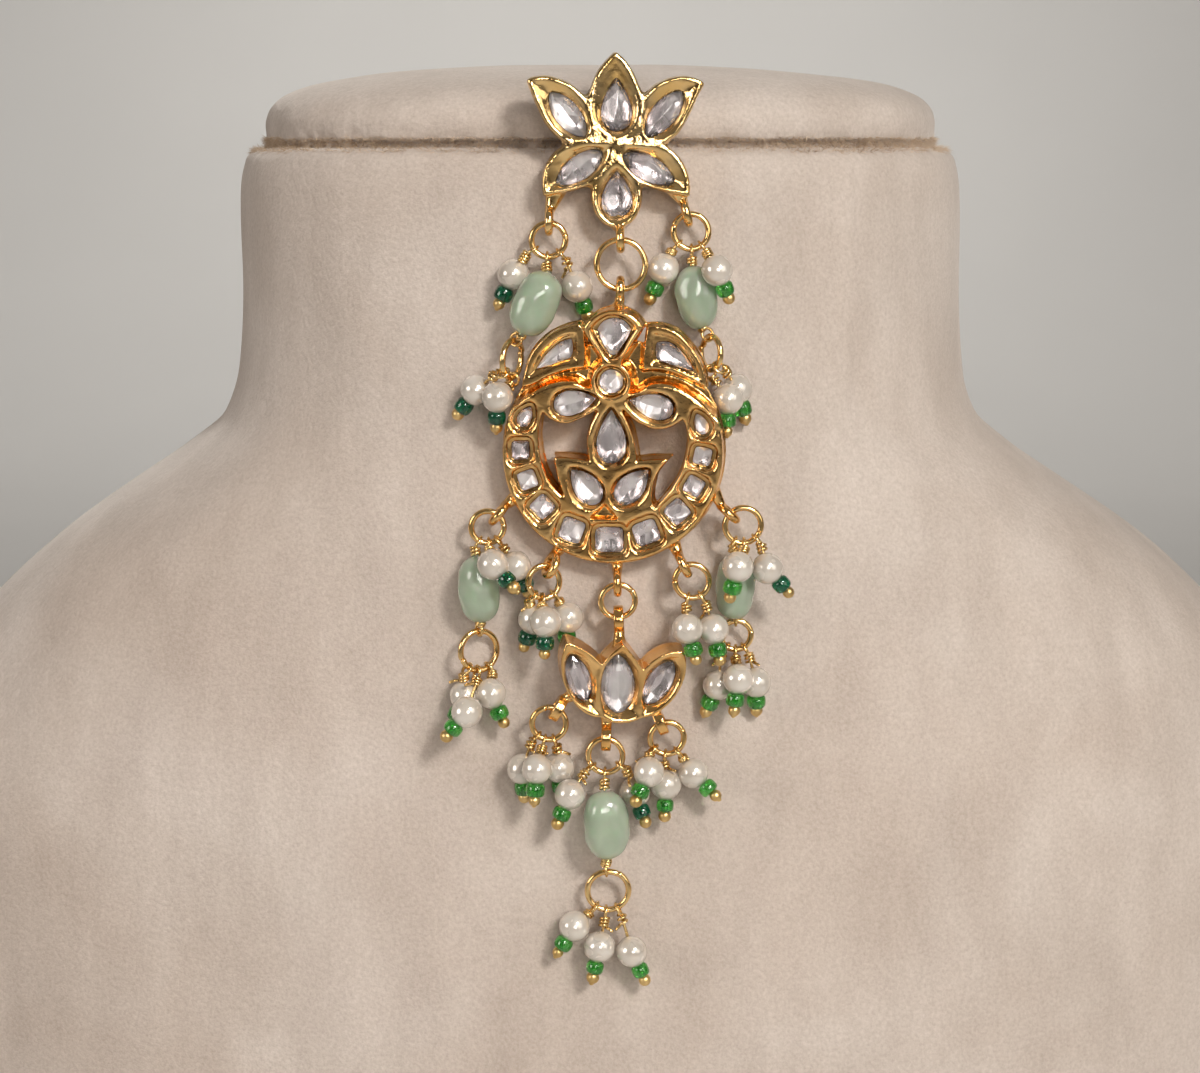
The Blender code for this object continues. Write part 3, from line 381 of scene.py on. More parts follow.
class Lay:
    """The flat local frame of one casting: x right, y up, z outwards."""

    def __init__(self, middle, lift, thick, turn, lean):
        self.thick = thick
        spot = sight(middle, lift)
        a, b = math.radians(turn), math.radians(lean)
        basis = (Matrix.Rotation(-a, 3, "Z") @ Matrix.Rotation(b, 3, "X")
                 @ Matrix(((1, 0, 0), (0, 0, -1), (0, 1, 0))))
        self.matrix = Matrix.Translation(spot) @ basis.to_4x4()
        self.inverse = self.matrix.inverted()
        self.normal = basis @ Vector((0, 0, 1))
        self.origin = spot

    def flat(self, place):
        way = look(place[0], place[1])
        reach = (self.origin - EYE).dot(self.normal) / way.dot(self.normal)
        local = self.inverse @ (EYE + way * reach)
        return (local.x, local.y)


LAYS = {name: Lay(*row) for name, row in FRAMES.items()}


def leaf(middle, half_long, half_wide, turn, point, taper, count, square=0.0):
    a = math.radians(turn)
    raw = []
    for i in range(count):
        t = TAU * (i + (0.5 if square else 0.0)) / count
        c, s = math.cos(t), math.sin(t)
        if square:
            x = math.copysign(abs(c) ** (2 / square), c)
            y = math.copysign(abs(s) ** (2 / square), s)
        else:
            x = c
            y = math.copysign(abs(s) ** point, s) * abs(math.sin(t / 2)) ** taper
        raw.append((x, y))
    wide = max(abs(y) for _, y in raw)
    out = []
    for x, y in raw:
        x *= half_long
        y *= half_wide / wide
        out.append((middle[0] + x * math.cos(a) - y * math.sin(a),
                    middle[1] - x * math.sin(a) - y * math.cos(a)))
    return out


def smooth_loop(points, steps=5):
    """A closed loop through points; a point with a third value 1 stays sharp."""
    n = len(points)
    out = []
    for i in range(n):
        a, b = points[i], points[(i + 1) % n]
        pa, nb = points[i - 1], points[(i + 2) % n]
        sharp_a = len(a) > 2 and a[2]
        sharp_b = len(b) > 2 and b[2]
        step = Vector((b[0] - a[0], b[1] - a[1]))
        ta = step if sharp_a else Vector((b[0] - pa[0], b[1] - pa[1])) / 2
        tb = step if sharp_b else Vector((nb[0] - a[0], nb[1] - a[1])) / 2
        if sharp_a and not sharp_b:
            ta = step * 2 - tb
            ta = ta * (step.length / max(ta.length, 1e-6))
        if sharp_b and not sharp_a:
            tb = step * 2 - ta
            tb = tb * (step.length / max(tb.length, 1e-6))
        for k in range(steps):
            t = k / steps
            h1 = 2 * t ** 3 - 3 * t ** 2 + 1
            h2 = t ** 3 - 2 * t ** 2 + t
            h3 = -2 * t ** 3 + 3 * t ** 2
            h4 = t ** 3 - t ** 2
            out.append((h1 * a[0] + h2 * ta.x + h3 * b[0] + h4 * tb.x,
                        h1 * a[1] + h2 * ta.y + h3 * b[1] + h4 * tb.y))
    return out


class Ring:
    def __init__(self, middle, outside, lift, turn, roll):
        self.centre = sight(middle, lift)
        self.radius = outside / 2 / steps_at(self.centre) - RING_WIRE
        spin = (Matrix.Rotation(math.radians(turn), 3, "Z")
                @ Matrix.Rotation(math.radians(-roll), 3, "Y"))
        self.right = spin @ Vector((1, 0, 0))
        self.up = spin @ Vector((0, 0, 1))

    def at(self, degrees):
        a = math.radians(degrees)
        return self.centre + (self.right * math.cos(a)
                              + self.up * math.sin(a)) * self.radius

    def along(self, degrees):
        a = math.radians(degrees)
        return (self.up * math.cos(a) - self.right * math.sin(a)).normalized()


LINKS = {name: Ring(*row) for name, row in RINGS.items()}


def dangle_ends(row):
    _, _, _, pearl_at, ball_at, lift, lean, _ = row
    pearl = sight(pearl_at, lift)
    other = sight(ball_at, lift)
    flat = other - pearl
    if flat.length > DANGLE_REACH:
        flat = flat.normalized() * DANGLE_REACH
    rise = math.sqrt(max(0.0, DANGLE_REACH ** 2 - flat.length ** 2))
    end = pearl + flat + Vector((0, -lean * min(rise, 1.2), 0))
    way = (end - pearl).normalized()
    return pearl, pearl + way * DANGLE_REACH, way


# ================================================================ meshes
def made(name, verts, faces, mats, ids=None, smooth=True, node=None):
    """An object from millimetre places; it rides the one body."""
    mesh = bpy.data.meshes.new(name)
    verts = np.asarray(verts, float) * MM
    mesh.from_pydata([tuple(v) for v in verts], [], [tuple(f) for f in faces])
    for mat in mats:
        mesh.materials.append(mat)
    if ids is not None:
        mesh.polygons.foreach_set("material_index", np.asarray(ids, np.int32))
    if isinstance(smooth, bool):
        mesh.polygons.foreach_set("use_smooth", [smooth] * len(mesh.polygons))
    else:
        mesh.polygons.foreach_set("use_smooth", smooth)
    mesh.update()
    piece = bpy.data.objects.new(name, mesh)
    bpy.context.scene.collection.objects.link(piece)
    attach(piece, "root")
    if node:
        for each in ([node] if isinstance(node, str) else node):
            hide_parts(each)
    return piece


class Pile:
    """Collects parts of one piece."""

    def __init__(self):
        self.verts, self.faces, self.ids, self.smooth = [], [], [], []

    def add(self, verts, faces, mat=0, smooth=True):
        base = len(self.verts)
        self.verts.extend([tuple(v) for v in verts])
        self.faces.extend([tuple(i + base for i in f) for f in faces])
        self.ids.extend([mat] * len(faces))
        self.smooth.extend([smooth] * len(faces))

    def piece(self, name, mats, node=None, slot=None):
        return made(name, self.verts, self.faces, mats, self.ids, self.smooth,
                    node)


def sweep(points, radius, sides=10, cyclic=False, caps=True):
    """A round wire along points; radius is one value or one per point."""
    pts = [Vector(p) for p in points]
    n = len(pts)
    radii = radius if isinstance(radius, (list, tuple)) else [radius] * n
    ways = []
    for i in range(n):
        if cyclic:
            w = pts[(i + 1) % n] - pts[i - 1]
        else:
            w = pts[min(i + 1, n - 1)] - pts[max(i - 1, 0)]
        ways.append(w.normalized())
    side = ways[0].orthogonal().normalized()
    frames = []
    for i in range(n):
        if i:
            turn = ways[i - 1].rotation_difference(ways[i])
            side = turn @ side
        side = (side - ways[i] * side.dot(ways[i])).normalized()
        frames.append(side.copy())
    twist = 0.0
    if cyclic:
        turn = ways[-1].rotation_difference(ways[0])
        last = turn @ frames[-1]
        twist = math.atan2(ways[0].dot(last.cross(frames[0])),
                           last.dot(frames[0]))
    verts, faces = [], []
    for i in range(n):
        a0 = twist * i / n
        up = ways[i].cross(frames[i])
        for k in range(sides):
            a = TAU * k / sides + a0
            verts.append(pts[i] + (frames[i] * math.cos(a)
                                   + up * math.sin(a)) * radii[i])
    for i in range(n if cyclic else n - 1):
        j = (i + 1) % n
        for k in range(sides):
            l = (k + 1) % sides
            faces.append((i * sides + k, i * sides + l,
                          j * sides + l, j * sides + k))
    if not cyclic and caps:
        for end, sign in ((0, -1), (n - 1, 1)):
            verts.append(pts[end] + ways[end] * sign * radii[end] * 0.55)
            tip = len(verts) - 1
            for k in range(sides):
                l = (k + 1) % sides
                a, b = end * sides + k, end * sides + l
                faces.append((b, a, tip) if sign < 0 else (a, b, tip))
    return verts, faces


def lathe(profile, middle, way, sides=24, spin=0.0):
    """Profile rows (along, radius) turned round a way; ends at radius 0."""
    way = Vector(way).normalized()
    one = way.orthogonal().normalized()
    two = way.cross(one)
    verts, faces, rings = [], [], []
    for along, radius in profile:
        if radius <= 1e-6:
            verts.append(Vector(middle) + way * along)
            rings.append([len(verts) - 1] * sides)
        else:
            row = []
            for k in range(sides):
                a = TAU * k / sides + spin
                verts.append(Vector(middle) + way * along
                             + (one * math.cos(a) + two * math.sin(a)) * radius)
                row.append(len(verts) - 1)
            rings.append(row)
    for low, high in zip(rings, rings[1:]):
        for k in range(sides):
            l = (k + 1) % sides
            quad = []
            for v in (low[k], low[l], high[l], high[k]):
                if v not in quad:
                    quad.append(v)
            if len(quad) > 2:
                faces.append(tuple(quad))
    return verts, faces


def circle(middle, normal, radius, count, start=None, part=1.0):
    normal = Vector(normal).normalized()
    first = Vector(start) if start is not None else Vector((0, 0, 1))
    first = (first - normal * first.dot(normal)).normalized()
    second = normal.cross(first)
    return [middle + (first * math.cos(TAU * part * i / count)
                      + second * math.sin(TAU * part * i / count)) * radius
            for i in range(count)]


# ================================================================ materials
def shader_of(name):
    mat = bpy.data.materials.new(name)
    mat.use_nodes = True
    tree = mat.node_tree
    return mat, tree, tree.nodes["Principled BSDF"]


def values(shader, **given):
    for key, value in given.items():
        socket = shader.inputs[key.replace("_", " ")]
        socket.default_value = value


def texture(tree, kind, scale, detail=2.0, stretch=None, rough=0.5, distort=0.0):
    """A procedural texture in object space; scale is per metre."""
    coords = tree.nodes.new("ShaderNodeTexCoord")
    place = tree.nodes.new("ShaderNodeMapping")
    if stretch:
        place.inputs["Scale"].default_value = stretch
    tree.links.new(coords.outputs["Object"], place.inputs["Vector"])
    node = tree.nodes.new("ShaderNodeTexNoise" if kind == "noise"
                          else "ShaderNodeTexVoronoi")
    tree.links.new(place.outputs["Vector"], node.inputs["Vector"])
    node.inputs["Scale"].default_value = scale
    if kind == "noise":
        node.inputs["Detail"].default_value = detail
        node.inputs["Roughness"].default_value = rough
        node.inputs["Distortion"].default_value = distort
        return node.outputs["Fac"]
    return node.outputs["Distance"]


def ramp(tree, source, stops):
    node = tree.nodes.new("ShaderNodeValToRGB")
    tree.links.new(source, node.inputs["Fac"])
    line = node.color_ramp
    line.elements[0].position, line.elements[0].color = stops[0][0], (*stops[0][1], 1)
    line.elements[1].position, line.elements[1].color = stops[-1][0], (*stops[-1][1], 1)
    for where, colour in stops[1:-1]:
        made_stop = line.elements.new(where)
        made_stop.color = (*colour, 1)
    return node.outputs["Color"]


def span(tree, source, low, high, start=0.3, end=0.7):
    node = tree.nodes.new("ShaderNodeMapRange")
    tree.links.new(source, node.inputs["Value"])
    node.inputs["From Min"].default_value = start
    node.inputs["From Max"].default_value = end
    node.inputs["To Min"].default_value = low
    node.inputs["To Max"].default_value = high
    return node.outputs["Result"]


def sums(tree, a, b, kind="MULTIPLY", factor=1.0):
    node = tree.nodes.new("ShaderNodeMix")
    node.data_type = "RGBA"
    node.blend_type = kind
    node.inputs["Factor"].default_value = factor
    tree.links.new(a, node.inputs[6])
    tree.links.new(b, node.inputs[7])
    return node.outputs[2]


def bump(tree, shader, height, distance, strength=1.0, before=None):
    node = tree.nodes.new("ShaderNodeBump")
    node.inputs["Distance"].default_value = distance
    node.inputs["Strength"].default_value = strength
    tree.links.new(height, node.inputs["Height"])
    if before is not None:
        tree.links.new(before, node.inputs["Normal"])
    tree.links.new(node.outputs["Normal"], shader.inputs["Normal"])
    return node.outputs["Normal"]


def gold_material(name, light, dark, rough, grain):
    mat, tree, shader = shader_of(name)
    tone = texture(tree, "noise", 260.0, 3.0)
    tree.links.new(ramp(tree, tone, ((0.34, dark), (0.62, light))),
                   shader.inputs["Base Color"])
    wear = texture(tree, "noise", 900.0, 4.0)
    tree.links.new(span(tree, wear, rough[0], rough[1]), shader.inputs["Roughness"])
    low = bump(tree, shader, texture(tree, "noise", 620.0, 2.0), 0.00016, 0.6 * grain)
    mid = bump(tree, shader, texture(tree, "noise", 1500.0, 2.0), 0.00007, 0.7 * grain, low)
    bump(tree, shader, texture(tree, "noise", 3600.0, 3.0), 0.00002, grain, mid)
    values(shader, Metallic=1.0)
    return mat


def build_materials():
    looks = {}
    looks["cast"] = gold_material("cast_gold", (0.95, 0.68, 0.33), (0.88, 0.57, 0.21),
                                  (0.06, 0.18), 1.0)
    # painted shade: the crescent and lotus take a darker, more orange copy of the same cast gold
    looks["deep"] = gold_material("cast_gold_painted_shade", (0.93, 0.60, 0.25), (0.85, 0.48, 0.16),
                                  (0.06, 0.18), 1.0)
    looks["link"] = gold_material("link_gold", (0.95, 0.67, 0.31), (0.86, 0.55, 0.21),
                                  (0.10, 0.20), 0.10)
    looks["wire"] = gold_material("wire_gold", (0.90, 0.66, 0.30), (0.72, 0.47, 0.18),
                                  (0.18, 0.32), 0.12)
    looks["head"] = gold_material("pin_head_brass", (0.80, 0.58, 0.26),
                                  (0.62, 0.42, 0.16), (0.30, 0.44), 0.5)

    mat, tree, shader = shader_of("clear_glass")
    values(shader, Base_Color=(0.98, 0.98, 1.0, 1), Roughness=0.02, IOR=1.5,
           Transmission_Weight=1.0)
    tree.links.new(span(tree, texture(tree, "noise", 500.0, 2.0), 0.0, 0.05),
                   shader.inputs["Roughness"])
    bump(tree, shader, texture(tree, "noise", 420.0, 1.0), 0.00005, 0.25)
    looks["glass"] = mat

    mat, tree, shader = shader_of("silver_foil")
    tone = texture(tree, "noise", 420.0, 2.0, stretch=(1.0, 1.0, 0.45), distort=0.4)
    tree.links.new(ramp(tree, tone, ((0.32, (0.73, 0.66, 0.67)), (0.5, (0.95, 0.90, 0.91)),
                                     (0.66, (1.0, 0.97, 0.96)))),
                   shader.inputs["Base Color"])
    tree.links.new(span(tree, tone, 0.20, 0.34), shader.inputs["Roughness"])
    bump(tree, shader, texture(tree, "noise", 700.0, 2.0, stretch=(1.0, 1.0, 0.4),
                               distort=0.5), 0.00016, 0.7)
    values(shader, Metallic=1.0)
    looks["foil"] = mat

    mat, tree, shader = shader_of("pearl_gloss")
    tone = texture(tree, "noise", 260.0, 1.0)
    tree.links.new(ramp(tree, tone, ((0.3, (0.56, 0.50, 0.43)), (0.55, (0.64, 0.58, 0.51)),
                                     (0.75, (0.71, 0.66, 0.60)))),
                   shader.inputs["Base Color"])
    tree.links.new(span(tree, texture(tree, "noise", 600.0, 1.0), 0.22, 0.30),
                   shader.inputs["Roughness"])
    values(shader, Subsurface_Weight=0.15, Subsurface_Scale=0.0004,
           Subsurface_Radius=(1.0, 0.85, 0.7), Metallic=0.2, Coat_Weight=1.0,
           Coat_Roughness=0.05, Coat_IOR=2.2)
    bump(tree, shader, texture(tree, "noise", 500.0, 1.0), 0.00002, 0.10)
    looks["pearl"] = mat

    for key, deep, pale in (("green", (0.02, 0.34, 0.03), (0.15, 0.68, 0.12)),
                            ("emerald", (0.0, 0.10, 0.045), (0.01, 0.30, 0.14))):
        mat, tree, shader = shader_of("seed_glass_" + key)
        tone = texture(tree, "noise", 1600.0, 2.0, stretch=(1, 1, 0.3))
        tree.links.new(ramp(tree, tone, ((0.35, deep), (0.65, pale))),
                       shader.inputs["Base Color"])
        tree.links.new(span(tree, tone, 0.03, 0.12), shader.inputs["Roughness"])
        values(shader, IOR=1.5, Transmission_Weight=0.8, Coat_Weight=0.6,
               Coat_Roughness=0.05)
        looks[key] = mat

    mat, tree, shader = shader_of("mint_stone")
    tone = texture(tree, "noise", 170.0, 4.0, distort=0.7)
    tree.links.new(ramp(tree, tone, ((0.3, (0.46, 0.56, 0.43)), (0.52, (0.54, 0.64, 0.50)),
                                     (0.72, (0.62, 0.71, 0.57)))),
                   shader.inputs["Base Color"])
    tree.links.new(span(tree, texture(tree, "noise", 800.0, 3.0), 0.10, 0.24),
                   shader.inputs["Roughness"])
    values(shader, Subsurface_Weight=0.8, Subsurface_Scale=0.0026,
           Subsurface_Radius=(0.7, 1.0, 0.8), Coat_Weight=1.0,
           Coat_Roughness=0.06, IOR=1.45, Transmission_Weight=0.5)
    bump(tree, shader, texture(tree, "noise", 380.0, 2.0), 0.00015, 0.4)
    looks["mint"] = mat

    mat, tree, shader = shader_of("brushed_velvet")
    patches = texture(tree, "noise", 34.0, 4.0, distort=0.5)
    strokes = texture(tree, "noise", 120.0, 4.0, stretch=(1.0, 1.0, 0.32), rough=0.6)
    nap = texture(tree, "noise", 1900.0, 3.0, rough=0.7)
    first = ramp(tree, patches, ((0.3, (0.55, 0.468, 0.41)), (0.7, (0.645, 0.572, 0.52))))
    second = ramp(tree, strokes, ((0.3, (0.86, 0.85, 0.84)), (0.64, (1.0, 1.0, 1.0))))
    third = ramp(tree, nap, ((0.25, (0.78, 0.76, 0.74)), (0.7, (1.0, 1.0, 1.0))))
    tone = sums(tree, sums(tree, first, second), third)
    tree.links.new(tone, shader.inputs["Base Color"])
    values(shader, Roughness=0.9, Sheen_Weight=0.45, Sheen_Roughness=0.45,
           Sheen_Tint=(1.0, 0.95, 0.9, 1.0), Specular_IOR_Level=0.2)
    low = bump(tree, shader, strokes, 0.0006, 0.35)
    mid = bump(tree, shader, texture(tree, "noise", 700.0, 3.0), 0.00025, 0.5, low)
    bump(tree, shader, nap, 0.00018, 0.7, mid)
    looks["velvet"] = mat

    mat, tree, shader = shader_of("seam_pile_painted_shade")
    # the stray pile is real, but its browner colour than the velvet is painted shade of the seam crease
    tone = texture(tree, "noise", 900.0, 2.0)
    tree.links.new(ramp(tree, tone, ((0.3, (0.42, 0.28, 0.17)), (0.7, (0.70, 0.54, 0.38)))),
                   shader.inputs["Base Color"])
    values(shader, Roughness=0.95, Sheen_Weight=0.3, Sheen_Roughness=0.5)
    looks["pile"] = mat

    for key, colour in (("floor", (0.78, 0.77, 0.75)), ("screen", (0.05, 0.05, 0.05))):
        mat, tree, shader = shader_of("plain_" + key)
        tone = texture(tree, "noise", 6.0, 2.0)
        tree.links.new(ramp(tree, tone, ((0.3, tuple(c * 0.97 for c in colour)),
                                         (0.7, colour))), shader.inputs["Base Color"])
        values(shader, Roughness=0.85)
        looks[key] = mat
    return looks


LOOKS = build_materials()


# ================================================================ bust
def pchip(xs, ys, x):
    """Monotone cubic through (xs, ys) at the places x."""
    xs, ys = np.asarray(xs, float), np.asarray(ys, float)
    h = np.diff(xs)
    d = np.diff(ys) / h
    m = np.zeros(len(xs))
    for i in range(1, len(xs) - 1):
        if d[i - 1] * d[i] > 0:
            w1, w2 = 2 * h[i] + h[i - 1], h[i] + 2 * h[i - 1]
            m[i] = (w1 + w2) / (w1 / d[i - 1] + w2 / d[i])
    m[0], m[-1] = d[0], d[-1]
    k = np.clip(np.searchsorted(xs, x) - 1, 0, len(h) - 1)
    t = (x - xs[k]) / h[k]
    return ((2 * t ** 3 - 3 * t ** 2 + 1) * ys[k]
            + (t ** 3 - 2 * t ** 2 + t) * h[k] * m[k]
            + (-2 * t ** 3 + 3 * t ** 2) * ys[k + 1]
            + (t ** 3 - t ** 2) * h[k] * m[k + 1])


def build_bust():
    levels = np.concatenate([
        np.linspace(-195, -193, 6)[:-1], np.linspace(-193, -110, 40)[:-1],
        np.linspace(-110, -8, 92)[:-1], np.linspace(-8, -1.2, 16)[:-1],
        np.linspace(-1.2, 1.2, 17)[:-1], np.linspace(1.2, 8.2, 20)[:-1],
        np.linspace(8.2, 11.0, 12)[:-1], np.linspace(11.0, 11.8, 10)])
    table = np.array(BUST)
    half, front, back, square = (pchip(table[:, 0], table[:, i], levels)
                                 for i in (1, 2, 3, 4))
    # more sides in front than behind
    turns = np.concatenate([np.linspace(0, math.pi, 110)[:-1],
                            np.linspace(math.pi, TAU, 311)[:-1]])
    n = len(turns)
    c, s = np.cos(turns), np.sin(turns)
    verts = []
    for r, level in enumerate(levels):
        q = square[r]
        x = half[r] * np.sign(c) * np.abs(c) ** (2 / q)
        y = np.sign(s) * np.abs(s) ** (2 / q)
        y = y * np.where(y > 0, back[r], front[r])
        for i in range(n):
            spot = Vector((x[i], y[i], SEAM + level))
            out = Vector((x[i], y[i], 0)).normalized()
            near_seam = math.exp(-(level / 1.6) ** 2)
            near_cap = 1.0 if level > 1.0 else 0.0
            swell = (noise.noise(spot * 0.035) * 0.55
                     + noise.noise(spot * 0.11 + Vector((7, 3, 1))) * 0.16)
            base_hold = min(1.0, max(0.0, (level + 195) / 8))
            # the earring lies on the front: hold the cloth still there
            in_front = (y[i] < 0 and abs(x[i]) < 34 and -106 < level)
            swell *= (0.25 if in_front else 1.0) * base_hold
            pucker = near_seam * noise.noise(
                Vector((turns[i] * 26, level * 0.5, 4.0))) * 0.6
            if near_cap:
                swell += noise.noise(Vector((turns[i] * 9, level * 0.2, 9.0))) * 0.22
            spot = spot + out * (swell * min(1.0, half[r] / 20.0) + pucker)
            if level > 8:
                spot.z += noise.noise(Vector((spot.x, spot.y, 2.0)) * 0.05) * 0.35 \
                    * min(1.0, (level - 8) / 2)
            verts.append(spot)
    faces = []
    rows = len(levels)
    for r in range(rows - 1):
        for i in range(n):
            j = (i + 1) % n
            faces.append((r * n + i, r * n + j, (r + 1) * n + j, (r + 1) * n + i))
    faces.append(tuple(range(n - 1, -1, -1)))
    faces.append(tuple((rows - 1) * n + i for i in range(n)))
    made("bust_velvet", verts, faces, [LOOKS["velvet"]], node="neck_bust")


def build_pile():
    """Short stray fibres along the pinched seam; their brown colour is painted shade of the seam crease."""
    rand = random.Random(5)
    pile = Pile()
    for _ in range(8400):
        turn = math.pi + rand.random() * math.pi
        level = rand.choice((-0.66, 0.0, 0.66)) + rand.uniform(-0.42, 0.36)
        half, front, _, square = section(level)
        c, s = math.cos(turn), math.sin(turn)
        x = half * math.copysign(abs(c) ** (2 / square), c)
        y = front * math.copysign(abs(s) ** (2 / square), s)
        root = Vector((x, y, SEAM + level))
        out = Vector((x, y, 0)).normalized()
        way = (out + Vector((rand.uniform(-0.8, 0.8), rand.uniform(-0.3, 0.3),
                             (-1 if level > 0 else 1) * rand.uniform(-0.5, 1.0)))
               ).normalized()
        long = rand.uniform(0.6, 1.5)
        side = way.orthogonal().normalized() * rand.uniform(0.025, 0.05)
        up = way.cross(side).normalized() * side.length
        base = root - way * 0.15
        tip = root + way * long + Vector((0, 0, -0.12 * long))
        pile.add([base + side, base - side * 0.5 + up, base - side * 0.5 - up, tip],
                 [(0, 2, 1), (0, 1, 3), (1, 2, 3), (2, 0, 3)])
    pile.piece("seam_fibres", [LOOKS["pile"]], slot="velvet")


# ================================================================ castings
def distance(px, py, loop):
    """Signed distance of grid places to a closed loop, negative inside."""
    loop = np.asarray(loop, float)
    best = np.full(px.shape, 1e9)
    inside = np.zeros(px.shape, bool)
    for (ax, ay), (bx, by) in zip(loop, np.roll(loop, -1, axis=0)):
        ex, ey = bx - ax, by - ay
        long = ex * ex + ey * ey
        if long < 1e-12:
            continue
        wx, wy = px - ax, py - ay
        t = np.clip((wx * ex + wy * ey) / long, 0.0, 1.0)
        dx, dy = wx - ex * t, wy - ey * t
        best = np.minimum(best, dx * dx + dy * dy)
        cross = (ay > py) != (by > py)
        if ay != by:
            inside ^= cross & (px < ex * (py - ay) / (by - ay) + ax)
    best = np.sqrt(best)
    return np.where(inside, -best, best)


def smax(a, b, k):
    h = np.clip(0.5 + 0.5 * (a - b) / k, 0, 1)
    return b + (a - b) * h + k * h * (1 - h)


def smin(a, b, k):
    return -smax(-a, -b, k)


def layer(d, level, rounding, draft=5.0):
    """Height of a raised shape: level inside, rounded edge, steep outside."""
    t = -d
    r = rounding
    curve = r - np.sqrt(np.maximum(r * r - np.clip(r - t, 0, r) ** 2, 0))
    return np.where(t > r, level, np.where(t > 0, level - curve,
                                           level - r + t * draft))


def well(d, top, depth, slope, soft):
    """Height inside a well whose rim is at d = 0."""
    t = -d
    fall = slope * (np.sqrt(t * t + soft * soft) - soft)
    shape = top - np.where(t > 0, fall, -1e3 * 0)
    shape = np.maximum(shape, top - depth)
    return np.where(t > 0, shape, top + (-t) * 3.0)


def soften(height, passes):
    """Rounds a height map a little, as a worn casting."""
    for _ in range(passes):
        for axis in (0, 1):
            height = (np.roll(height, 1, axis) + 2 * height
                      + np.roll(height, -1, axis)) / 4
    return height


def value_noise(px, py, scale, seed):
    """Smooth noise on a grid of places, feature size in millimetres."""
    rand = np.random.RandomState(seed)
    grid = rand.rand(96, 96)
    u = (px / scale) % 95
    v = (py / scale) % 95
    i, j = np.floor(u).astype(int), np.floor(v).astype(int)
    fu, fv = u - i, v - j
    fu, fv = fu * fu * (3 - 2 * fu), fv * fv * (3 - 2 * fv)
    i2, j2 = (i + 1) % 96, (j + 1) % 96
    low = grid[i, j] * (1 - fu) + grid[i2, j] * fu
    high = grid[i, j2] * (1 - fu) + grid[i2, j2] * fu
    return (low * (1 - fv) + high * fv) * 2 - 1


def surface(field, origin, step):
    """Quads of the zero surface of a sampled field, negative inside."""
    neg = field < 0
    cells = np.zeros(tuple(s - 1 for s in field.shape), np.uint8)
    for a in (0, 1):
        for b in (0, 1):
            for c in (0, 1):
                cells += neg[a:field.shape[0] - 1 + a, b:field.shape[1] - 1 + b,
                             c:field.shape[2] - 1 + c]
    active = (cells > 0) & (cells < 8)
    where = np.argwhere(active)
    index = np.full(cells.shape, -1, np.int64)
    index[active] = np.arange(len(where))
    total = np.zeros((len(where), 3))
    count = np.zeros(len(where))
    corner = {}
    for a in (0, 1):
        for b in (0, 1):
            for c in (0, 1):
                corner[a, b, c] = field[where[:, 0] + a, where[:, 1] + b,
                                        where[:, 2] + c]
    for axis in range(3):
        others = [k for k in range(3) if k != axis]
        for a in (0, 1):
            for b in (0, 1):
                low, high = [0, 0, 0], [0, 0, 0]
                low[others[0]] = high[others[0]] = a
                low[others[1]] = high[others[1]] = b
                high[axis] = 1
                f0, f1 = corner[tuple(low)], corner[tuple(high)]
                hit = (f0 < 0) != (f1 < 0)
                t = np.where(hit, f0 / np.where(hit, f0 - f1, 1.0), 0.0)
                spot = np.zeros((len(where), 3))
                spot[:, others[0]] = a
                spot[:, others[1]] = b
                spot[:, axis] = t
                total[hit] += spot[hit]
                count[hit] += 1
    verts = (where + total / count[:, None]) * step + np.asarray(origin)
    faces = []
    for axis in range(3):
        one, two = [k for k in range(3) if k != axis]
        size = field.shape
        cut = [slice(1, size[k] - 1) for k in range(3)]
        cut[axis] = slice(0, size[axis] - 1)
        ahead = list(cut)
        ahead[axis] = slice(1, size[axis])
        a, b = neg[tuple(cut)], neg[tuple(ahead)]
        hit = np.argwhere(a != b)
        hit[:, one] += 1
        hit[:, two] += 1
        inside_low = neg[hit[:, 0], hit[:, 1], hit[:, 2]]

        def cell(du, dv):
            spot = hit.copy()
            spot[:, one] -= du
            spot[:, two] -= dv
            return index[spot[:, 0], spot[:, 1], spot[:, 2]]
        quad = np.stack([cell(1, 1), cell(0, 1), cell(0, 0), cell(1, 0)], axis=1)
        flip = inside_low if axis != 1 else ~inside_low
        quad[~flip] = quad[~flip][:, ::-1]
        faces.append(quad)
    return verts, np.concatenate(faces)


def hook_parts(frame_name, scale=1.0):
    """The cast loops of one casting: place of the eye, its normal, its stem."""
    lay = LAYS[frame_name]
    out = []
    for owner, ring_name, degrees, anchor, square in CAST_LOOPS:
        if owner != frame_name:
            continue
        ring = LINKS[ring_name]
        x, y = lay.flat(anchor)
        inside = lay.matrix @ Vector((x, y, -lay.thick * 0.55))
        hold, along = ring.at(degrees), ring.along(degrees)
        way = inside - hold
        side = (way - along * way.dot(along)).normalized()
        middle = hold + side * 0.18
        out.append((middle, along, middle + side * (CAST_RADIUS - 0.1), inside,
                    square))
    return out


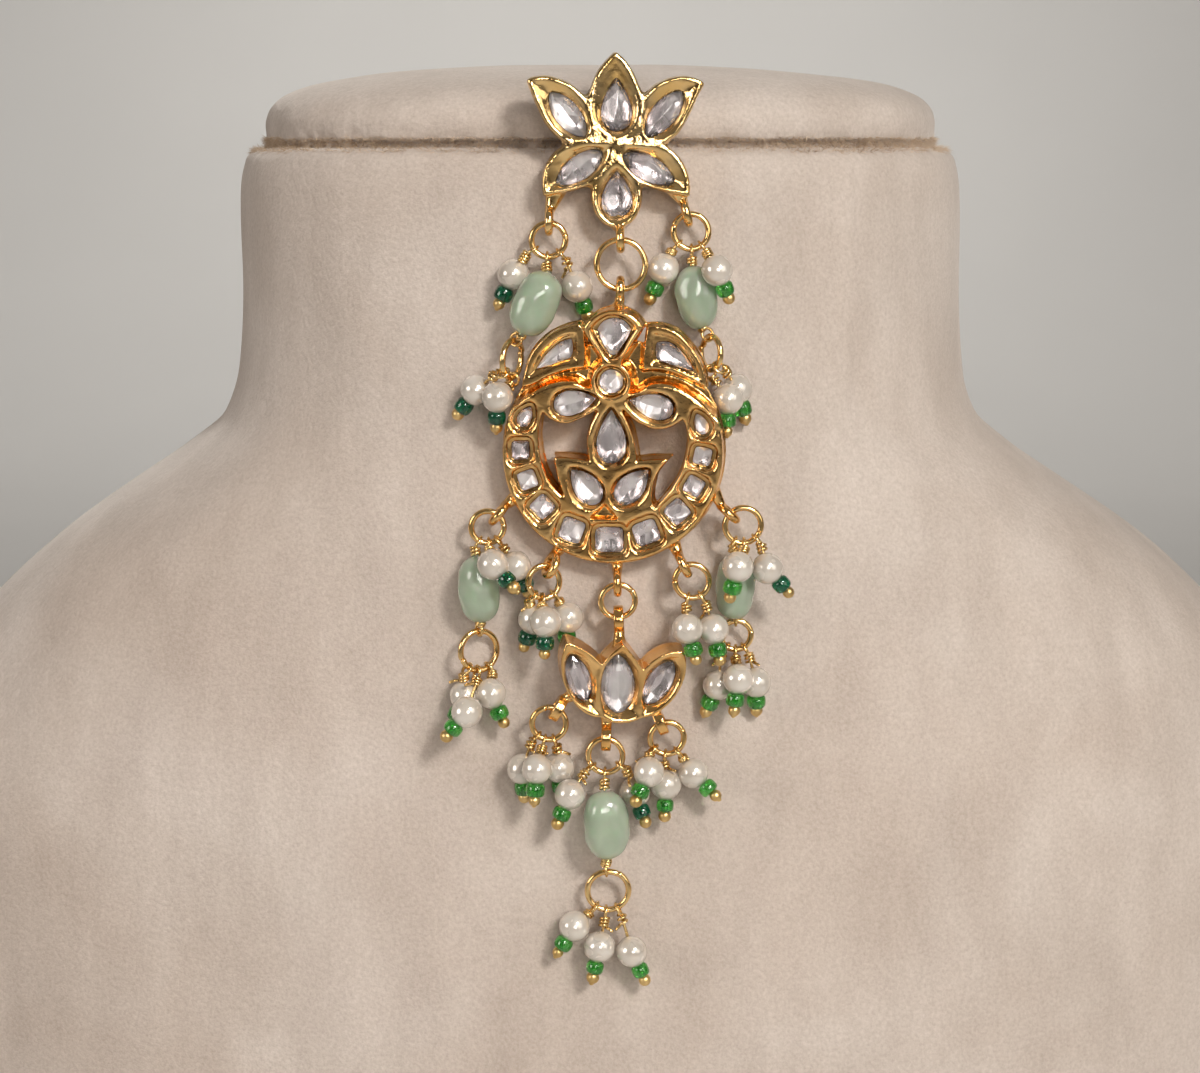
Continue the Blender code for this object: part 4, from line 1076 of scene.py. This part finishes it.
def build_casting(name, step, top_shape, side_shape, thick, node, keep):
    """Solid below a height map, inside an outline, with its cast loops."""
    lay = LAYS[name]
    hooks = hook_parts(name)
    inverse = lay.inverse
    reach = [lay.flat(p) for p in top_shape["extent"]]
    xs = [p[0] for p in reach] + [(inverse @ h[0]).x + k for h in hooks for k in (-2.1, 2.1)]
    ys = [p[1] for p in reach] + [(inverse @ h[0]).y + k for h in hooks for k in (-2.1, 2.1)]
    zs = [(inverse @ h[0]).z + k for h in hooks for k in (-2.1, 2.1)]
    low = np.array([min(xs) - 0.6, min(ys) - 0.6, min(-thick, min(zs)) - 0.4])
    high = np.array([max(xs) + 0.6, max(ys) + 0.6, max(0.7, max(zs)) + 0.4])
    size = np.ceil((high - low) / step).astype(int) + 1
    x = low[0] + np.arange(size[0]) * step
    y = low[1] + np.arange(size[1]) * step
    z = low[2] + np.arange(size[2]) * step
    px, py = np.meshgrid(x, y, indexing="ij")
    height = top_shape["height"](px, py)
    side, back = side_shape(px, py)
    gx, gy = np.gradient(height, step)
    tilt = np.sqrt(1 + np.minimum(gx * gx + gy * gy, 30.0))
    zz = z[None, None, :]
    field = (zz - height[:, :, None]) / tilt[:, :, None]
    # the front casting stands on a slightly wider back plate
    split = -thick + 0.95
    front_wall = (side + 0.12)[:, :, None] - 0.05 * np.clip(-zz - 0.4, 0, 2.0)
    back_wall = np.broadcast_to(back[:, :, None], field.shape)
    blend = np.clip((zz - split) / 0.16 + 0.5, 0, 1)
    wall = np.where(zz > split + 0.08, front_wall, back_wall)
    wall = front_wall * blend + back_wall * (1 - blend)
    field = smax(field, wall, 0.10)
    field = smax(field, -thick - zz + 0 * field, 0.25)
    for middle, along, stem, inside, square in hooks:
        m = np.array(inverse @ middle)
        n = np.array(inverse.to_3x3() @ along)
        a, b = np.array(inverse @ stem), np.array(inverse @ inside)
        lo = np.minimum(m - 2.3, np.minimum(a, b) - 1.0)
        hi = np.maximum(m + 2.3, np.maximum(a, b) + 1.0)
        i0 = np.clip(((lo - low) / step).astype(int), 0, size - 1)
        i1 = np.clip(((hi - low) / step).astype(int) + 1, 1, size)
        gx3, gy3, gz3 = np.meshgrid(x[i0[0]:i1[0]], y[i0[1]:i1[1]],
                                    z[i0[2]:i1[2]], indexing="ij")
        q = np.stack([gx3 - m[0], gy3 - m[1], gz3 - m[2]], axis=-1)
        axial = q @ n
        radial = np.sqrt(np.maximum((q ** 2).sum(-1) - axial ** 2, 0)) - CAST_RADIUS
        if square:
            wire = np.maximum(np.abs(radial) - CAST_WIRE * 0.82,
                              np.abs(axial) - CAST_WIRE * 1.15)
            wire = smax(np.abs(radial) - CAST_WIRE * 0.82,
                        np.abs(axial) - CAST_WIRE * 1.2, 0.22)
        else:
            wire = np.sqrt(radial ** 2 + axial ** 2) - CAST_WIRE
        ab = b - a
        p = np.stack([gx3 - a[0], gy3 - a[1], gz3 - a[2]], axis=-1)
        t = np.clip((p @ ab) / (ab @ ab), 0, 1)
        rod = np.sqrt(((p - t[..., None] * ab) ** 2).sum(-1)) \
            - (CAST_WIRE * (1.05 + (1.45 if name == "stud" else 0.75) * t))
        part = smin(wire, rod, 0.30)
        old = field[i0[0]:i1[0], i0[1]:i1[1], i0[2]:i1[2]]
        field[i0[0]:i1[0], i0[1]:i1[1], i0[2]:i1[2]] = smin(old, part, 0.35)
    field[0], field[-1] = 1, 1
    field[:, 0], field[:, -1] = 1, 1
    field[:, :, 0], field[:, :, -1] = 1, 1
    verts, faces = surface(field, low, step)
    world = np.array(lay.matrix)
    verts = verts @ world[:3, :3].T + world[:3, 3]
    # the crescent and lotus take the darker gold copy, which is painted shade; the stud keeps the plain gold
    look = LOOKS["cast" if name == "stud" else "deep"]
    piece = made(name + "_casting", verts, faces, [look], node=node)
    before = len(piece.data.polygons) * 2
    if keep < before:
        thin = piece.modifiers.new("thin", "DECIMATE")
        thin.ratio = keep / before
        bpy.context.view_layer.update()
        graph = bpy.context.evaluated_depsgraph_get()
        mesh = bpy.data.meshes.new_from_object(piece.evaluated_get(graph))
        piece.modifiers.clear()
        piece.data = mesh
        mesh.polygons.foreach_set("use_smooth", [True] * len(mesh.polygons))

    return piece


def flat_loop(name, loop):
    return [LAYS[name].flat(p) for p in loop]


def stone_loops():
    """Outline of every stone in its casting's flat frame, with its node."""
    out = []
    for row in STONES:
        loop = leaf(*row[2:], 44)
        out.append((row[0], row[1], flat_loop(row[1], loop)))
    for node, points in CROWN_STONES:
        out.append((node, "crescent", flat_loop("crescent", smooth_loop(points, 4))))
    for i, (middle, long, wide, turn, taper) in enumerate(RING_STONES):
        if taper:
            loop = leaf(middle, long, wide, turn, 1.0, taper, 36)
        else:
            loop = leaf(middle, long * 1.03, wide * 1.03, turn, 1, 0, 40, square=5.5)
        out.append(("ring_stones", "crescent", flat_loop("crescent", loop)))
    return out


STONE_LOOPS = stone_loops()
# depth of the girdle of each stone below the front face, by frame
GIRDLE = {"stud": -0.62, "lotus": -0.70, "crescent": -0.50}
CREST = 0.30


def pockets(name, px, py, height):
    """Sinks a small pocket under every stone of a casting."""
    for node, owner, loop in STONE_LOOPS:
        if owner != name:
            continue
        d = distance(px, py, loop)
        floor = GIRDLE[name] - 0.50
        pocket = np.where(d < -0.03, floor, floor + (d + 0.03) * 9.0)
        height = smin(height, pocket, 0.04)
    return height


def cups_height(px, py, name, cups, join, floor):
    """Rounded bars along the crest of every cup, merged where cups are close,
    falling inwards to the edge of the stone."""
    stone = np.full(px.shape, 9.0)
    for _, owner, loop in STONE_LOOPS:
        if owner == name:
            stone = np.minimum(stone, distance(px, py, loop))
    near = np.full(px.shape, 9.0)
    joined = np.full(px.shape, 9.0)
    for cup in cups:
        d = distance(px, py, cup)
        near = np.minimum(near, d)
        joined = smin(joined, d, join)
    t = np.maximum(-near, 0)
    share = np.clip(t / np.maximum(t + np.maximum(stone, 0), 1e-6), 0, 1)
    fast = 0.26 * np.clip(t / 0.70, 0, 1) ** 2
    inner = CREST - fast - (CREST - floor - 0.26) * share ** 2.3
    out = np.maximum(joined, 0)
    round_out = 0.5
    bend = round_out - np.sqrt(np.maximum(
        round_out ** 2 - np.minimum(out, round_out * 0.94) ** 2, 0))
    outer = CREST - bend - 3.0 * np.maximum(out - round_out * 0.94, 0)
    return np.where(near < 0, np.maximum(inner, floor), np.maximum(outer, -1.3))


def stud_height(px, py):
    cups = [flat_loop("stud", smooth_loop(c)) for c in STUD_CUPS]
    height = cups_height(px, py, "stud", cups, 1.7, -0.60)
    middle = LAYS["stud"].flat((618.0, 144.0))
    far = np.hypot(px - middle[0], py - middle[1])
    height = smax(height, CREST + 0.12 - 0.5 * far ** 1.5, 0.15)
    for spot in STUD_WEBS:
        web = LAYS["stud"].flat(spot)
        far = np.hypot(px - web[0], py - web[1])
        height = smax(height, CREST - 0.10 - 0.30 * far ** 2.5, 0.2)
    height = soften(height, 5) + value_noise(px, py, 1.3, 3) * 0.030 \
        + value_noise(px + 31, py, 0.6, 4) * 0.010
    return pockets("stud", px, py, height)


def stud_side(px, py):
    cups = [flat_loop("stud", smooth_loop(c)) for c in STUD_CUPS]
    d = np.full(px.shape, 9.0)
    for cup in cups:
        d = smin(d, distance(px, py, cup), 1.3)
    middle = LAYS["stud"].flat((618.0, 145.0))
    d = smin(d, np.hypot(px - middle[0], py - middle[1]) - 1.6, 0.3)
    for spot in STUD_WEBS:
        web = LAYS["stud"].flat(spot)
        d = smin(d, np.hypot(px - web[0], py - web[1]) - 0.9, 0.2)
    wobble = value_noise(px, py, 1.1, 6) * 0.03
    return d - 0.42 + wobble, d - 0.46 + wobble


def lotus_height(px, py):
    cups = [flat_loop("lotus", smooth_loop(c)) for c in LOTUS_CUPS]
    height = cups_height(px, py, "lotus", cups, 0.9, -0.70)
    height = soften(height, 3) + value_noise(px, py, 1.4, 13) * 0.028 \
        + value_noise(px + 31, py, 0.6, 14) * 0.010
    return pockets("lotus", px, py, height)


def lotus_side(px, py):
    cups = [flat_loop("lotus", smooth_loop(c)) for c in LOTUS_CUPS]
    d = np.full(px.shape, 9.0)
    for cup in cups:
        d = smin(d, distance(px, py, cup), 0.2)
    wobble = value_noise(px, py, 1.1, 16) * 0.03
    return d - 0.34 + wobble, d - 0.38 + wobble


def crescent_outline(shrink=0.0):
    """The main front shape: the ring with its two arms."""
    cx, cy, r = 612.5, 454.0, 111.5 - shrink
    start = math.atan2(ARMS[0][1] - cy, ARMS[0][0] - cx)
    end = math.atan2(ARMS[-1][1] - cy, ARMS[-1][0] - cx)
    while end < start:
        end += TAU
    arc = [(cx + r * math.cos(start + (end - start) * i / 90),
            cy + r * math.sin(start + (end - start) * i / 90)) for i in range(91)]
    arms = smooth_loop([(x, y) for x, y in ARMS[::-1]], 4)
    arms = arms[:4 * (len(ARMS) - 1) + 1]
    return arc + arms[1:-1]


def crescent_height(px, py):
    def loop(points, steps=5):
        return distance(px, py, flat_loop("crescent", smooth_loop(points, steps)))

    main = distance(px, py, flat_loop("crescent", crescent_outline(1.0)))
    open_d = np.minimum(loop(OPENINGS[0]), loop(OPENINGS[1]))
    (rx, ry), r_out, r_well = ROUND
    disc = distance(px, py, flat_loop("crescent", leaf((rx, ry), r_out, r_out, 0, 1, 0, 48)))
    round_well = distance(px, py, flat_loop("crescent", leaf((rx, ry), r_well, r_well, 0, 1, 0, 48)))
    fan = loop(FAN)
    left, right = loop(LEAF_LEFT), loop(LEAF_RIGHT)

    leaves = np.minimum(left, right)
    leaf_wells = np.minimum(loop(LEAF_LEFT_WELL), loop(LEAF_RIGHT_WELL))
    pit = loop(PIT, 3)
    wells = np.minimum(loop(FAN_WELL), round_well)
    for node, owner, stone in STONE_LOOPS:
        if owner != "crescent" or node in ("crescent_stone_1", "crescent_stone_2",
                                           "crescent_stone_3", "crescent_stone_4"):
            continue
        d = distance(px, py, stone)
        wells = np.minimum(wells, d - (0.60 if node == "ring_stones" else 0.26))
    cut = np.maximum(-wells, -pit)
    # every bar between two edges is rounded across
    height = layer(np.maximum(np.maximum(main, -open_d), cut), 0.14, 0.66, 4.0)
    height = smax(height, layer(np.maximum(disc, cut), 0.36, 0.60, 4.0), 0.20)
    height = smax(height, layer(np.maximum(fan, cut), 0.36, 0.60, 4.0), 0.20)
    height = smax(height, layer(np.maximum(leaves, -leaf_wells), -0.40, 0.24, 4.0), 0.06)
    step_in = layer(np.maximum(leaf_wells, -(leaf_wells + 0.18)), -0.60, 0.09, 4.0)
    height = np.maximum(height, step_in)
    height = np.maximum(height, -2.2)
    height = np.maximum(height, np.where(wells < 0.3, -0.56, -9.0))
    height = np.maximum(height, np.where(leaf_wells < 0.1, -0.80, -9.0))
    height = np.maximum(height, np.where(pit < 0.2, -1.0, -9.0))
    height = soften(height, 1) + value_noise(px, py, 1.6, 23) * 0.034 \
        + value_noise(px + 31, py, 0.7, 24) * 0.012
    return pockets("crescent", px, py, height)


def crescent_side(px, py):
    def loop(points, steps=5):
        return distance(px, py, flat_loop("crescent", smooth_loop(points, steps)))

    disc = distance(px, py, flat_loop("crescent", leaf((612.5, 454.0), 111.5, 111.5, 0, 1, 0, 110)))
    d = np.minimum(disc, np.minimum(loop(LEAF_LEFT), loop(LEAF_RIGHT)))
    d = smin(d, loop(FAN), 0.2)
    open_d = np.minimum(loop(OPENINGS[0]), loop(OPENINGS[1]))
    wobble = value_noise(px, py, 1.0, 26) * 0.05
    front = smax(d, -open_d, 0.08)
    back = smax(d - 0.14 + wobble, -open_d - 0.10 + wobble, 0.08)
    return front, back


def build_castings():
    build_casting("stud", 0.105,
                  {"extent": ((525, 48), (706, 232)), "height": stud_height},
                  stud_side, LAYS["stud"].thick, "stud_frame", 90000)
    build_casting("crescent", 0.12,
                  {"extent": ((498, 300), (728, 570)), "height": crescent_height},
                  crescent_side, LAYS["crescent"].thick, "crescent_frame", 185000)
    build_casting("lotus", 0.105,
                  {"extent": ((556, 636), (690, 728)), "height": lotus_height},
                  lotus_side, LAYS["lotus"].thick, "lotus_frame", 75000)
    # the stud's post, back into the seam
    lay = LAYS["stud"]
    start = lay.matrix @ Vector((0, 0, -lay.thick + 0.3))
    end = start + Vector((0, POST_LENGTH, 0))
    pile = Pile()
    pile.add(*sweep([start, start + Vector((0, 4, 0)), end - Vector((0, 0.8, 0)), end],
                    [POST_RADIUS, POST_RADIUS, POST_RADIUS, POST_RADIUS * 0.4], 16))
    pile.piece("stud_post", [LOOKS["link"]], slot="gold")


# ================================================================ stones
def build_stones():
    groups = {}
    rand = random.Random(11)
    for node, owner, loop in STONE_LOOPS:
        groups.setdefault((node, owner), []).append(loop)
    for (node, owner), loops in groups.items():
        pile = Pile()
        lay = LAYS[owner]
        for loop in loops:
            pts = np.array(loop)
            mid = pts.mean(0)
            rel = pts - mid
            size = np.sqrt((rel ** 2).sum(1))
            axis = np.linalg.svd(rel - rel.mean(0), full_matrices=False)[2][0]
            long = np.abs(rel @ axis).max()
            cross = np.array((-axis[1], axis[0]))
            wide = np.abs(rel @ cross).max()
            girdle = GIRDLE[owner] - (0.14 if node in ("crescent_stone_3", "crescent_stone_4") else 0.0)
            rise = min(0.72, 0.30 + wide * 0.24)
            if node == "ring_stones":
                rise = 0.5
            crown = []
            for x, y in rel:
                crown.append((mid[0] + x, mid[1] + y, girdle))
            count = 8 if wide > 1.1 else 6
            for ring_at, scale, lift_share in ((0, 0.86, 0.55), (1, 0.58, 1.0)):
                for k in range(count):
                    a = TAU * (k + 0.5 * ring_at) / count + rand.uniform(-0.12, 0.12)
                    where = int(round(a / TAU * len(rel))) % len(rel)
                    s = scale * rand.uniform(0.94, 1.05)
                    crown.append((mid[0] + rel[where][0] * s,
                                  mid[1] + rel[where][1] * s,
                                  girdle + rise * lift_share * rand.uniform(0.93, 1.04)))
            bm = bmesh.new()
            verts = [bm.verts.new(v) for v in crown]
            # foil-backed pavilion: a keel along the stone
            keel = 0.34
            for share in (-0.5, 0.0, 0.5):
                spot = mid + axis * long * share + cross * wide * rand.uniform(-0.12, 0.12)
                verts.append(bm.verts.new((spot[0], spot[1], girdle - keel)))
            hull = bmesh.ops.convex_hull(bm, input=bm.verts)
            loose = [v for v in bm.verts if not v.link_faces]
            bmesh.ops.delete(bm, geom=loose, context="VERTS")
            bmesh.ops.triangulate(bm, faces=bm.faces)
            bmesh.ops.recalc_face_normals(bm, faces=bm.faces)
            bm.verts.index_update()
            world = lay.matrix
            vs = [world @ v.co for v in bm.verts]
            front, back = [], []
            for f in bm.faces:
                ids = tuple(v.index for v in f.verts)
                (back if f.normal.z < -0.02 else front).append(ids)
            base = len(pile.verts)
            pile.add(vs, front, 0, False)
            for f in back:
                pile.faces.append(tuple(i + base for i in f))
                pile.ids.append(1)
                pile.smooth.append(False)
            bm.free()
        pile.piece(node + "_cut", [LOOKS["glass"], LOOKS["foil"]], node=node,
                   slot="clear_stone")


# ================================================================ links
def build_rings():
    for name, ring in LINKS.items():
        cut = math.radians(RING_CUTS[name])
        normal = ring.right.cross(ring.up)
        pts = []
        count = 72
        gap = 0.055
        for i in range(count + 1):
            a = cut + gap / ring.radius + (TAU - 2 * gap / ring.radius) * i / count
            skew = normal * (0.12 * math.cos((a - cut) / 2))
            r = ring.radius * (1 + 0.012 * math.sin(2 * a + cut))
            pts.append(ring.centre + (ring.right * math.cos(a)
                                      + ring.up * math.sin(a)) * r + skew)
        pile = Pile()
        pile.add(*sweep(pts, RING_WIRE + 0.07, 14))
        pile.piece(name + "_wire", [LOOKS["link"]], node=name, slot="gold")


def wrapped_eye(ring, degrees, target, bare, turns, rand, tail=0.5,
                radius=EYE_RADIUS):
    """One wire: from target up, round the ring, then wound back round itself.

    bare is how much of the way next to target is hidden inside a bead."""
    hold, along = ring.at(degrees), ring.along(degrees)
    way = target - hold
    side = (way - along * way.dot(along)).normalized()
    middle = hold + side * (radius - RING_WIRE - EYE_WIRE) * 0.9
    neck = middle + side * radius
    stem = target - neck
    long = stem.length
    down = stem.normalized()
    pts = [target - down * bare * 0.4, neck + down * min(0.25, long * 0.3)]
    eye = circle(middle, along * rand.choice((-1, 1)), radius, 20, side)
    pts += eye[1:20]
    # wound part
    free = max(0.55, min(long - bare, 1.5))
    start = neck - side * 0.12
    coil_r = EYE_WIRE * 2.7
    one = down.orthogonal().normalized()
    two = down.cross(one)
    count = int(turns * 12)
    phase = rand.uniform(0, TAU)
    for k in range(count + 1):
        t = k / count
        a = phase + t * turns * TAU
        spot = start + down * (t * free * 0.9) \
            + (one * math.cos(a) + two * math.sin(a)) * coil_r
        pts.append(spot)
    out = (pts[-1] - (start + down * free * 0.9)).normalized()
    if tail > 0:
        turn = (out + down * rand.uniform(-0.6, 0.6)
                + Vector((0, -0.5, 0))).normalized()
        pts.append(pts[-1] + turn * tail * 0.5)
        pts.append(pts[-1] + (turn + Vector((rand.uniform(-.3, .3), 0, -0.2)))
                   .normalized() * tail * 0.5)
    return pts


def ball_mesh(middle, radius, way, sides=32, rings=20, wobble=0.0, seed=0.0):
    profile = []
    for i in range(rings + 1):
        a = math.pi * i / rings
        profile.append((-radius * math.cos(a), radius * math.sin(a) if 0 < i < rings else 0.0))
    verts, faces = lathe(profile, middle, way, sides)
    if wobble:
        verts = [v + (v - middle).normalized()
                 * noise.noise((v - middle) * 0.55 + Vector((seed, 2, 5))) * wobble
                 for v in verts]
    return verts, faces


def build_mints():
    for index, (name, place, long, wide, turn, lift, upper, upper_at, lower,
                lower_at) in enumerate(MINTS):
        rand = random.Random(40 + index)
        middle = sight(place, lift)
        scale = steps_at(middle)
        half, deep, tall = wide / scale, wide / scale * 0.9, long / scale
        tilt = Matrix.Rotation(math.radians(90.0 - turn), 3, "Y")
        rows, sides = 46, 52
        verts, faces = [], []
        hole = 0.42
        for r in range(rows + 1):
            t = -1 + 2 * r / rows
            u = math.copysign(1 - (1 - abs(t)) ** 1.7, t)
            swell = max(0.0, 1 - abs(u) ** 2.5) ** (1 / 2.25)
            swell = max(swell, hole / half * (0.9 if abs(t) == 1 else 1.0))
            dip = -0.22 * math.exp(-((1 - abs(u)) / 0.02) ** 2) if r in (0, rows) else 0.0
            for k in range(sides):
                a = TAU * k / sides
                facet = 1 + 0.022 * math.cos(3 * a + index * 1.7 + u * 1.3) \
                    + 0.012 * math.cos(5 * a + index)
                spot = Vector((half * swell * facet * math.cos(a),
                               deep * swell * facet * math.sin(a),
                               tall * u + math.copysign(dip, u)))
                spot += Vector((noise.noise(spot * 0.42 + Vector((index * 9, 0, 0))),
                                noise.noise(spot * 0.42 + Vector((0, index * 7, 3))),
                                0)) * 0.22 * swell
                verts.append(middle + tilt @ spot)
        n = sides
        for r in range(rows):
            for k in range(n):
                l = (k + 1) % n
                faces.append((r * n + k, r * n + l, (r + 1) * n + l, (r + 1) * n + k))
        for end, order in ((0, -1), (rows, 1)):
            centre = middle + tilt @ Vector((0, 0, (-1 if end == 0 else 1) * (tall - 0.5)))
            verts.append(centre)
            tip = len(verts) - 1
            for k in range(n):
                l = (k + 1) % n
                a, b = end * n + k, end * n + l
                faces.append((b, a, tip) if order < 0 else (a, b, tip))
        pile = Pile()
        pile.add(verts, faces)
        pile.piece(name + "_body", [LOOKS["mint"]], node=name, slot="mint_stone")
        axis = tilt @ Vector((0, 0, tall - 0.4))
        wires = Pile()
        for ring_name, degrees, end in ((upper, upper_at, middle + axis),
                                        (lower, lower_at, middle - axis)):
            wires.add(*sweep(wrapped_eye(LINKS[ring_name], degrees, end, 0.25,
                                         2.6, rand, 0.0), EYE_WIRE, 8))
        wires.piece(name + "_wires", [LOOKS["wire"]], slot="gold")


def build_tassels():
    bunches = {}
    for row in DANGLES:
        bunches.setdefault(row[0], []).append(row)
    for index, (name, rows) in enumerate(bunches.items()):
        rand = random.Random(80 + index)
        pearls, seeds, metal = Pile(), Pile(), Pile()
        for row in rows:
            pearl, end, way = dangle_ends(row)
            dark = row[7]
            verts, faces = ball_mesh(pearl, PEARL * rand.uniform(0.975, 1.01), way,
                                     wobble=0.055, seed=rand.uniform(0, 50))
            pearls.add(verts, faces)
            # barrel bead with a drilled hole
            at = pearl + way * (PEARL + SEED_LONG / 2 - 0.12)
            r, h, hole = SEED * rand.uniform(0.95, 1.05), SEED_LONG / 2 * rand.uniform(0.92, 1.04), 0.42
            profile = [(-h * 0.96, hole), (-h, hole + 0.14), (-h, r * 0.70),
                       (-h * 0.86, r * 0.88), (-h * 0.55, r * 0.975), (0, r),
                       (h * 0.55, r * 0.975), (h * 0.86, r * 0.88), (h, r * 0.70),
                       (h, hole + 0.14), (h * 0.96, hole), (0, hole * 0.94),
                       (-h * 0.96, hole)]
            verts, faces = lathe(profile, at, way, 26)
            seeds.add(verts, faces, 1 if dark else 0)
            # pin with its ball head
            metal.add(*sweep([pearl + way * (PEARL - 0.3), end], 0.2, 8), 0)
            radius = BALL * rand.uniform(0.92, 1.1)
            verts, faces = ball_mesh(end, radius, way, 18, 12, 0.03, rand.uniform(0, 9))
            metal.add(verts, faces, 1)
            if rand.random() < 0.45:
                metal.add(*ball_mesh(end + way * radius * 0.85, radius * 0.42, way, 14, 8), 1)
            ring = LINKS[row[1]]
            turns = rand.choice((2.0, 2.5, 3.0))
            metal.add(*sweep(wrapped_eye(ring, row[2], pearl, PEARL - 0.1, turns, rand,
                                         rand.choice((0.5, 0.9, 1.5))),
                             EYE_WIRE, 7), 0)
        pearls.piece(name + "_pearls", [LOOKS["pearl"]], node=name, slot="pearl")
        seeds.piece(name + "_seeds", [LOOKS["green"], LOOKS["emerald"]], slot="mint_stone")
        metal.piece(name + "_pins", [LOOKS["wire"], LOOKS["head"]], slot="gold")


# ================================================================ stage
def area(name, spot, target, size, power, colour=(1, 1, 1), shape="DISK", size_y=None):
    data = bpy.data.lights.new(name, "AREA")
    data.shape = shape
    data.size = size
    if size_y:
        data.size_y = size_y
    data.energy = power
    data.color = colour
    lamp = bpy.data.objects.new(name, data)
    lamp.location = spot
    lamp.rotation_euler = (Vector(target) - Vector(spot)).to_track_quat("-Z", "Y").to_euler()
    bpy.context.scene.collection.objects.link(lamp)
    return lamp


def build_stage():
    scene = bpy.context.scene
    # floor with a sweep rising behind
    profile = [(-1.6, 0.0), (0.9, 0.0)]
    for i in range(1, 25):
        a = math.pi / 2 * i / 24
        profile.append((0.9 + 0.5 * math.sin(a), 0.5 - 0.5 * math.cos(a)))
    profile.append((1.4, 2.6))
    verts = [(x, y, z) for y, z in profile for x in (-2.4, 2.4)]
    faces = [(2 * i, 2 * i + 1, 2 * i + 3, 2 * i + 2) for i in range(len(profile) - 1)]
    mesh = bpy.data.meshes.new("floor")
    mesh.from_pydata(verts, [], faces)
    mesh.polygons.foreach_set("use_smooth", [True] * len(faces))
    mesh.materials.append(LOOKS["floor"])
    floor = bpy.data.objects.new("floor", mesh)
    floor.location = (0, 0, -0.0002)
    scene.collection.objects.link(floor)

    aim = Vector((0, -0.05, 0.14))
    turn, rise, far = math.radians(28), math.radians(33), 0.72
    key = aim + Vector((math.sin(turn) * math.cos(rise), -math.cos(turn) * math.cos(rise),
                        math.sin(rise))) * far
    area("key", key, aim, 0.15, 0.60, (1.0, 0.965, 0.92)).data.spread = math.radians(75)
    # a wide dim panel by the key rounds the highlights on the metal
    area("panel", (0.60, -0.62, 0.40), aim, 0.50, 0.42, (1.0, 0.95, 0.88),
         "SQUARE").data.spread = math.radians(100)
    area("front", (0.12, -0.82, 0.32), aim, 0.28, 0.16, (1.0, 0.96, 0.90)).data.spread = math.radians(60)
    area("fill", (-0.62, -0.42, 0.30), aim, 0.36, 0.38, (1.0, 0.93, 0.87)).data.spread = math.radians(90)
    area("top", (0.05, 0.22, 0.70), (0, 0, 0.2), 0.45, 0.02, (0.80, 0.90, 1.0)).data.spread = math.radians(90)
    area("sweep", (0.0, 0.55, 1.3), (0, 1.4, 0.45), 0.8, 3.4, (1.0, 0.98, 0.95)).data.spread = math.radians(100)

    world = bpy.data.worlds.new("studio")
    scene.world = world
    world.use_nodes = True
    tree = world.node_tree
    back = tree.nodes["Background"]
    # dim walls, darker low down and lighter overhead
    coords = tree.nodes.new("ShaderNodeTexCoord")
    split = tree.nodes.new("ShaderNodeSeparateXYZ")
    tree.links.new(coords.outputs["Generated"], split.inputs["Vector"])
    tree.links.new(ramp(tree, span(tree, split.outputs["Z"], 0.0, 1.0, -1.0, 1.0),
                        ((0.30, (0.06, 0.045, 0.035)), (0.52, (0.14, 0.115, 0.095)),
                         (0.72, (0.30, 0.27, 0.24)), (1.0, (0.42, 0.40, 0.38)))),
                   back.inputs["Color"])
    back.inputs["Strength"].default_value = 0.52

    camera = bpy.data.cameras.new("camera")
    camera.lens = 66.0
    camera.sensor_width = 36.0
    camera.clip_start = 0.01
    camera.clip_end = 20.0
    eye = bpy.data.objects.new("camera", camera)
    eye.location = EYE * MM
    eye.rotation_euler = (math.radians(90) - VIEW_DROP, 0, 0)
    scene.collection.objects.link(eye)
    scene.camera = eye
    scene.view_settings.view_transform = "Standard"


build_stage()
build_bust()
build_pile()
build_castings()
build_stones()
build_rings()
build_mints()
build_tassels()
